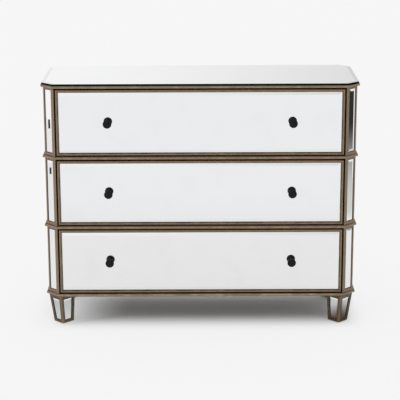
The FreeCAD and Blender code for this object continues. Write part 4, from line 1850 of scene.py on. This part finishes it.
@dataclass(frozen=True)
class Drawer:
    """One drawer: front with its pane and beading, knobs with screws, and the box behind."""

    level: str
    knob: Knob = Knob()
    knob_flats: int = 72
    screw: Screw = Screw(4.5 * MM, 2.5 * MM, 2.0 * MM, 30.0 * MM)

    @property
    def body(self) -> str:
        """Body that everything on the drawer rides on."""
        return self.level + "_drawer"

    def build_front(self) -> None:
        """Beading and pane on the front board."""
        low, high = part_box(self.body + "_beading")
        plan = ((low.x, low.z), (high.x, low.z), (high.x, high.z), (low.x, high.z))
        draft = Draft(self.body + "_beading_profiled")
        Beading().draw(draft, [Vector((x, high.y, z)) for x, z in plan], FORWARD)
        draft.finish(self.body, BRONZE, "bronze_trim", [self.body + "_beading"])
        dress_node(self.body + "_mirror", MIRROR)
        dress_node(self.body + "_front", DARK_BOARD)

    def build_knobs(self) -> None:
        """Both knobs, and the screws that hold them from inside."""
        knobs = Draft(self.body + "_knobs_turned")
        for low, high in solids_of(self.body + "_knobs"):
            foot = Vector(((low.x + high.x) / 2, high.y, (low.z + high.z) / 2))
            turned(knobs, self.knob.section(), foot, FORWARD, self.knob_flats)
        knobs.finish(self.body, KNOB_BLACK, "knob_black", [self.body + "_knobs"])
        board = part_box(self.body + "_front")[1]
        self.screw.build(self.body + "_knob_screws", self.body, board.y)

    def build_box(self) -> None:
        """Sides, back and bottom of the drawer box."""
        boards = Boards()
        boards.build(self.body + "_sides", self.body, SIDE_WOOD, "drawer_wood")
        boards.build(self.body + "_back", self.body, BACK_WOOD, "drawer_wood")
        boards.build(self.body + "_bottom", self.body, PLY, "drawer_ply")

    def build(self) -> None:
        """The whole drawer."""
        self.build_front()
        self.build_knobs()
        self.build_box()


class Sides:
    """Side panels with three framed mirrors each."""

    def build(self) -> None:
        """Beading of both sides; the panels and mirrors keep their shape."""
        beading = Beading()
        low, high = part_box("side_beading")
        draft = Draft("side_beading_profiled")
        for side in Side:
            x = side.value * (high.x - beading.height)
            near, far = (low.y, high.y) if side is Side.RIGHT else (high.y, low.y)
            for mirror_low, mirror_high in rows_of("side_mirrors"):
                z0, z1 = mirror_low - beading.width, mirror_high + beading.width
                corners = [Vector((x, y, z)) for y, z in ((near, z0), (far, z0), (far, z1), (near, z1))]
                beading.draw(draft, corners, Vector((side.value, 0, 0)))
        draft.finish("case", BRONZE, "bronze_trim", ["side_beading"])
        dress_node("side_mirrors", MIRROR)
        dress_node("left_side_panel", BRONZE_BOARD)
        dress_node("right_side_panel", BRONZE_BOARD)


@dataclass(frozen=True)
class Carcass:
    """Boards, rails and runners inside the case, its back and its top."""

    plan: CasePlan
    screw: Screw = Screw(3.6 * MM, 2.0 * MM, 1.8 * MM, 20.0 * MM, 0.8 * MM)

    def build(self) -> None:
        """Everything that the mouldings, posts and sides enclose."""
        dress_node("back_panel", BACK_BOARD)
        self.screw.build("back_panel_screws", "case", self.plan.back)
        boards = Boards()
        for node in ("drawer_runners", "drawer_guides", "drawer_kickers", "drawer_stops"):
            boards.build(node, "case", RUNNER_WOOD, "runner_wood")
        dress_node("rear_rails", RAIL_WOOD)
        dress_node("top_mirror", TOP_MIRROR)
        dress_node("top_board", DARK_BOARD)
        dress_node("bottom_board", DARK_BOARD)


@dataclass(frozen=True)
class Viewpoint:
    """The camera, found by fitting a pinhole camera to edges of the chest.

    Attributes:
        place: Where it stands.
        pitch_down: How far it looks down.
        roll: How far it is turned round its line of sight.
        focal_pixels: Focal length in pixels.
        frame_pixels: Width of the picture in the same pixels.
        sensor: Width of the sensor in millimetres.
    """

    place: tuple[float, float, float] = (-0.0018, -5.26625, 1.8246)
    pitch_down: float = math.radians(14.82)
    roll: float = math.radians(-0.197)
    focal_pixels: float = 1450.6
    frame_pixels: float = 400.0
    sensor: float = 36.0

    def build(self) -> None:
        """Add the camera and make it the scene's."""
        data = bpy.data.cameras.new("studio_camera")
        data.sensor_width = self.sensor
        data.lens = self.focal_pixels / self.frame_pixels * self.sensor
        camera = bpy.data.objects.new("studio_camera", data)
        forward = Vector((0, math.cos(self.pitch_down), -math.sin(self.pitch_down)))
        level, upright = Vector((1, 0, 0)), Vector((1, 0, 0)).cross(forward)
        right = level * math.cos(self.roll) + upright * math.sin(self.roll)
        up = upright * math.cos(self.roll) - level * math.sin(self.roll)
        turn = Matrix((right, up, -forward)).transposed().to_4x4()
        camera.matrix_world = Matrix.Translation(self.place) @ turn
        bpy.context.scene.collection.objects.link(camera)
        bpy.context.scene.camera = camera


def on_stage(name: str, shape: bmesh.types.BMesh, material: bpy.types.Material) -> bpy.types.Object:
    """Turn a shape into a piece of the studio.

    Args:
        name: What it is.
        shape: Its shape, which is used up.
        material: Its material.

    Returns:
        The new object.
    """
    mesh = bpy.data.meshes.new(name)
    shape.to_mesh(mesh)
    shape.free()
    mesh.materials.append(material)
    piece = bpy.data.objects.new(name, mesh)
    bpy.context.scene.collection.objects.link(piece)
    return piece


@dataclass(frozen=True)
class Card:
    """A studio card that only reflections see, such as a white board or a black flag.

    Attributes:
        name: What it is.
        centre: Its middle.
        size: Width and height, or width and depth for a card on the floor.
        facing: Direction that it faces.
        near: Its brightness close to the source, where 1 is white.
        far: Its brightness away from the source.
        fade: Distances from the source between which it goes from near to far.
        source: Where these distances start.
        border: Share of the card, from its edge to its middle, over which it thins out.
    """

    name: str
    centre: tuple[float, float, float]
    size: tuple[float, float]
    facing: tuple[float, float, float]
    near: Colour
    far: Colour
    fade: Span = (1.0, 2.0)
    source: tuple[float, float, float] = (0.0, 0.0, 0.0)
    border: float = 0.0

    def solid(self, graph: Graph) -> Socket:
        """0 at the card's edge, rising to 1 across its border.

        Args:
            graph: The card's material.

        Returns:
            The value's socket.
        """
        place = graph.axes(graph.node("ShaderNodeTexCoord").outputs["Generated"])
        total = 1.0
        for axis in ("X", "Y"):
            off_middle = graph.calculate("SUBTRACT", place[axis], 0.5)
            off_middle = graph.calculate("ABSOLUTE", off_middle, 0.0)
            inside = graph.ramp(off_middle, 0.5, 0.5 - self.border / 2)
            total = graph.calculate("MULTIPLY", total, inside)
        return total

    def material(self) -> bpy.types.Material:
        """Plain glow that fades with distance and thins out at the border."""
        material = bpy.data.materials.new(self.name)
        graph = Graph.emptied(material)
        reach = graph.node("ShaderNodeVectorMath", operation="DISTANCE")
        graph.feed(reach.inputs[0], graph.here())
        graph.feed(reach.inputs[1], self.source)
        share = graph.ramp(reach.outputs["Value"], *self.fade)
        light = graph.node("ShaderNodeEmission")
        graph.feed(light.inputs["Color"], graph.blend(share, self.near, self.far))
        shown = light.outputs[0]
        if self.border:
            clear = graph.node("ShaderNodeBsdfTransparent")
            shown = graph.mix_shaders(self.solid(graph), clear.outputs[0], shown)
        sink = graph.node("ShaderNodeOutputMaterial")
        graph.feed(sink.inputs["Surface"], shown)
        return material

    def build(self) -> None:
        """Add the card to the stage."""
        shape = bmesh.new()
        bmesh.ops.create_grid(shape, x_segments=1, y_segments=1, size=0.5)
        card = on_stage(self.name, shape, self.material())
        turn = Vector(self.facing).to_track_quat("Z", "Y").to_matrix().to_4x4()
        card.matrix_world = Matrix.Translation(self.centre) @ turn @ Matrix.Diagonal((*self.size, 1, 1))
        card.visible_camera = False
        card.visible_diffuse = False
        card.visible_shadow = False


@dataclass(frozen=True)
class Studio:
    """Plain pale floor, even sky and one broad soft lamp.

    The floor shows its own plain tone away from the chest, and its shaded self round the feet.

    Attributes:
        floor_radius: Radius of the floor.
        floor_sides: Number of its sides.
        floor_tone: Its tone, and that of the backdrop.
        plain_near: What mirrors show of the plain floor close to the chest, darker as painted shade.
        plain_far: What they show of it further away, bluer than the floor that the camera sees.
        plain_span: Distances in front of the chest between which it changes.
        plain_share: How plain the camera sees the floor away from the chest.
        mirrored_share: How plain mirrors show it there.
        left_shade: Where the chest's shade ends at the left, and the others likewise; the left one starts
            under the chest, where it paints light into the shade.
        sky_strength: Strength of the light from the sky.
        sky_across: Its share from the left and from the right.
        sky_upward: Its share at the horizon and overhead.
        room_span: Directions to the right between which mirrors show the room darker.
        room_tones: Its tones before and after them.
        outside_span: Sideways directions between which what mirrors show steps down.
        outside_tone: Its tone beyond them.
        high_span: Upward directions between which it steps up.
        high_tone: Its tone above them.
        lamp_strength: Strength of the lamp.
        lamp_angle: Its width as seen from the chest.
        lamp_elevation: Its height above the horizon.
        lamp_azimuth: Its turn from the front, below 0 to the left.
    """

    floor_radius: float = 40.0
    floor_sides: int = 64
    floor_tone: float = 0.92
    plain_near: Colour = (0.860, 0.857, 0.850)
    plain_far: Colour = (0.905, 0.925, 0.945)
    plain_span: Span = (1.3, 2.2)
    plain_share: float = 0.88
    mirrored_share: float = 0.60
    left_shade: Span = (-0.26, -0.69)
    right_shade: Span = (0.48, 0.62)
    front_shade: Span = (-0.05, -0.26)
    back_shade: Span = (0.25, 0.40)
    sky_strength: float = 0.99
    sky_across: Span = (1.15, 0.85)
    sky_upward: Span = (0.70, 1.15)
    room_span: Span = (-0.12, 0.30)
    room_tones: Span = (0.975, 0.63)
    outside_span: Span = (0.106, 0.120)
    outside_tone: float = 0.90
    high_span: Span = (0.25, 0.33)
    high_tone: float = 1.1
    lamp_strength: float = 0.12
    lamp_angle: float = math.radians(60)
    lamp_elevation: float = math.radians(60)
    lamp_azimuth: float = math.radians(-70)

    def sky_light(self, graph: Graph, direction: bpy.types.bpy_prop_collection) -> Socket:
        """Strength of the light: brighter overhead and from the left.

        Args:
            graph: The world's nodes.
            direction: X, Y and Z of the way that a ray takes.

        Returns:
            The strength's socket.
        """
        across = graph.ramp(direction["X"], -1.0, 1.0, *self.sky_across)
        upward = graph.ramp(direction["Z"], 0.0, 1.0, *self.sky_upward)
        shape = graph.calculate("MULTIPLY", across, upward)
        return graph.calculate("MULTIPLY", shape, self.sky_strength)

    def reflected(self, graph: Graph, direction: bpy.types.bpy_prop_collection) -> Socket:
        """Brightness that mirrors show: the room is darker at the right.

        Args:
            graph: The world's nodes.
            direction: X, Y and Z of the way that a ray takes.

        Returns:
            The brightness's socket.
        """
        across = graph.ramp(direction["X"], *self.room_span, *self.room_tones)
        sideways = graph.calculate("ABSOLUTE", direction["X"], 0.0)
        outside = graph.ramp(sideways, *self.outside_span, 1.0, self.outside_tone)
        upward = graph.ramp(direction["Z"], *self.high_span, 1.0, self.high_tone)
        shape = graph.calculate("MULTIPLY", across, outside)
        return graph.calculate("MULTIPLY", shape, upward)

    def build_sky(self) -> None:
        """World that lights evenly and shows the backdrop to the camera and in reflections."""
        world = bpy.data.worlds.new("studio_sky")
        graph = Graph.emptied(world)
        path = graph.node("ShaderNodeLightPath")
        seen = graph.calculate("MAXIMUM", path.outputs["Is Glossy Ray"],
                               path.outputs["Is Transmission Ray"])
        direction = graph.axes(graph.node("ShaderNodeTexCoord").outputs["Generated"])
        white = (1.0, 1.0, 1.0)
        skies = []
        for colour, strength in ((white, self.sky_light(graph, direction)),
                                 (white, self.reflected(graph, direction)),
                                 ((self.floor_tone,) * 3, 1.0)):
            sky = graph.node("ShaderNodeBackground")
            graph.feed(sky.inputs["Color"], colour)
            graph.feed(sky.inputs["Strength"], strength)
            skies.append(sky.outputs[0])
        shown = graph.mix_shaders(seen, skies[0], skies[1])
        shown = graph.mix_shaders(path.outputs["Is Camera Ray"], shown, skies[2])
        sink = graph.node("ShaderNodeOutputWorld")
        graph.feed(sink.inputs["Surface"], shown)
        bpy.context.scene.world = world

    def away(self, graph: Graph, place: bpy.types.bpy_prop_collection) -> Socket:
        """1 where the floor is plain, and 0 in the chest's shade.

        Args:
            graph: The floor's material.
            place: X, Y and Z on the floor.

        Returns:
            The value's socket.
        """
        shades = (("X", self.left_shade), ("X", self.right_shade),
                  ("Y", self.front_shade), ("Y", self.back_shade))
        total = 0.0
        for axis, limits in shades:
            total = graph.calculate("MAXIMUM", total, graph.ramp(place[axis], *limits))
        return total

    def floor_material(self) -> bpy.types.Material:
        """Matt floor that shows a plain tone away from the chest."""
        material = bpy.data.materials.new("studio_floor")
        graph = Graph.emptied(material)
        shaded = graph.node("ShaderNodeBsdfDiffuse")
        graph.feed(shaded.inputs["Color"], (self.floor_tone,) * 3)
        place = graph.axes(graph.here())
        path = graph.node("ShaderNodeLightPath")
        seen = path.outputs["Is Camera Ray"]
        mirrored = graph.calculate("MAXIMUM", path.outputs["Is Glossy Ray"],
                                   path.outputs["Is Transmission Ray"])
        in_front = graph.calculate("MULTIPLY", place["Y"], -1.0)
        tone = graph.blend(graph.ramp(in_front, *self.plain_span), self.plain_near, self.plain_far)
        plain = graph.node("ShaderNodeEmission")
        graph.feed(plain.inputs["Color"], graph.blend(seen, tone, (self.floor_tone,) * 3))
        share = graph.calculate("MAXIMUM", graph.calculate("MULTIPLY", seen, self.plain_share),
                                graph.calculate("MULTIPLY", mirrored, self.mirrored_share))
        share = graph.calculate("MULTIPLY", share, self.away(graph, place))
        sink = graph.node("ShaderNodeOutputMaterial")
        graph.feed(sink.inputs["Surface"],
                   graph.mix_shaders(share, shaded.outputs[0], plain.outputs[0]))
        return material

    def build_floor(self) -> None:
        """Floor wide enough to fill the view."""
        shape = bmesh.new()
        bmesh.ops.create_circle(shape, cap_ends=True, radius=self.floor_radius, segments=self.floor_sides)
        on_stage("studio_floor", shape, self.floor_material())

    def build_lamp(self) -> None:
        """Broad soft lamp, far away at the left."""
        data = bpy.data.lights.new("soft_lamp", "SUN")
        data.energy = self.lamp_strength
        data.angle = self.lamp_angle
        lamp = bpy.data.objects.new("soft_lamp", data)
        level = math.cos(self.lamp_elevation)
        towards = Vector((math.sin(self.lamp_azimuth) * level, -math.cos(self.lamp_azimuth) * level,
                          math.sin(self.lamp_elevation)))
        lamp.rotation_euler = towards.to_track_quat("Z", "Y").to_euler()
        lamp.visible_glossy = False
        bpy.context.scene.collection.objects.link(lamp)

    def build(self) -> None:
        """Sky, floor, lamp and cards."""
        self.build_sky()
        self.build_floor()
        self.build_lamp()
        for card in CARDS:
            card.build()
        bpy.context.scene.view_settings.view_transform = "Standard"


BOARD_WHITE = (1.02, 1.02, 1.01)
STAND_BLACK = (0.01, 0.01, 0.01)
LEFT_FOOT = (-0.52, -0.15, 0.0)
RIGHT_FOOT = (0.52, -0.15, 0.0)
FOOT_SHADE_SIZE = (0.50, 0.34)
CARDS = (
    Card("white_board_left", (-4.2, 0.3, 1.2), (6.0, 2.4), (1, 0, 0), BOARD_WHITE, BOARD_WHITE),
    Card("black_flag_right", (3.725, -0.69, 0.02), (3.75, 2.62), (0, 0, 1),
         near=(0.68, 0.69, 0.68), far=(0.028, 0.034, 0.030), fade=(1.6, 3.65), source=RIGHT_FOOT,
         border=0.12),
    Card("shade_at_left_foot", (-0.52, -0.15, 0.001), FOOT_SHADE_SIZE, (0, 0, 1),
         near=(0.66, 0.66, 0.655), far=(0.56, 0.565, 0.565), fade=(0.04, 0.20), source=LEFT_FOOT,
         border=0.35),
    Card("shade_at_right_foot", (0.52, -0.15, 0.001), FOOT_SHADE_SIZE, (0, 0, 1),
         near=(0.090, 0.065, 0.045), far=(0.66, 0.66, 0.655), fade=(0.04, 0.22), source=RIGHT_FOOT,
         border=0.35),
    Card("far_stand_left", (-4.04, 0.205, 0.028), (0.020, 0.056), (1, 0, 0), STAND_BLACK, STAND_BLACK),
    Card("near_stand_left", (-2.88, 0.083, 0.018), (0.018, 0.036), (1, 0, 0), STAND_BLACK, STAND_BLACK),
)


def main() -> None:
    """Build the studio and every sub-assembly."""
    logging.basicConfig(level=logging.INFO, format="%(message)s")
    Viewpoint().build()
    Studio().build()
    plan = CasePlan.from_frame()
    Mouldings(plan).build()
    CornerPosts(plan).build()
    Legs(plan).build()
    Sides().build()
    Carcass(plan).build()
    for level in LEVELS:
        Drawer(level).build()


if __name__ == "__main__":
    main()
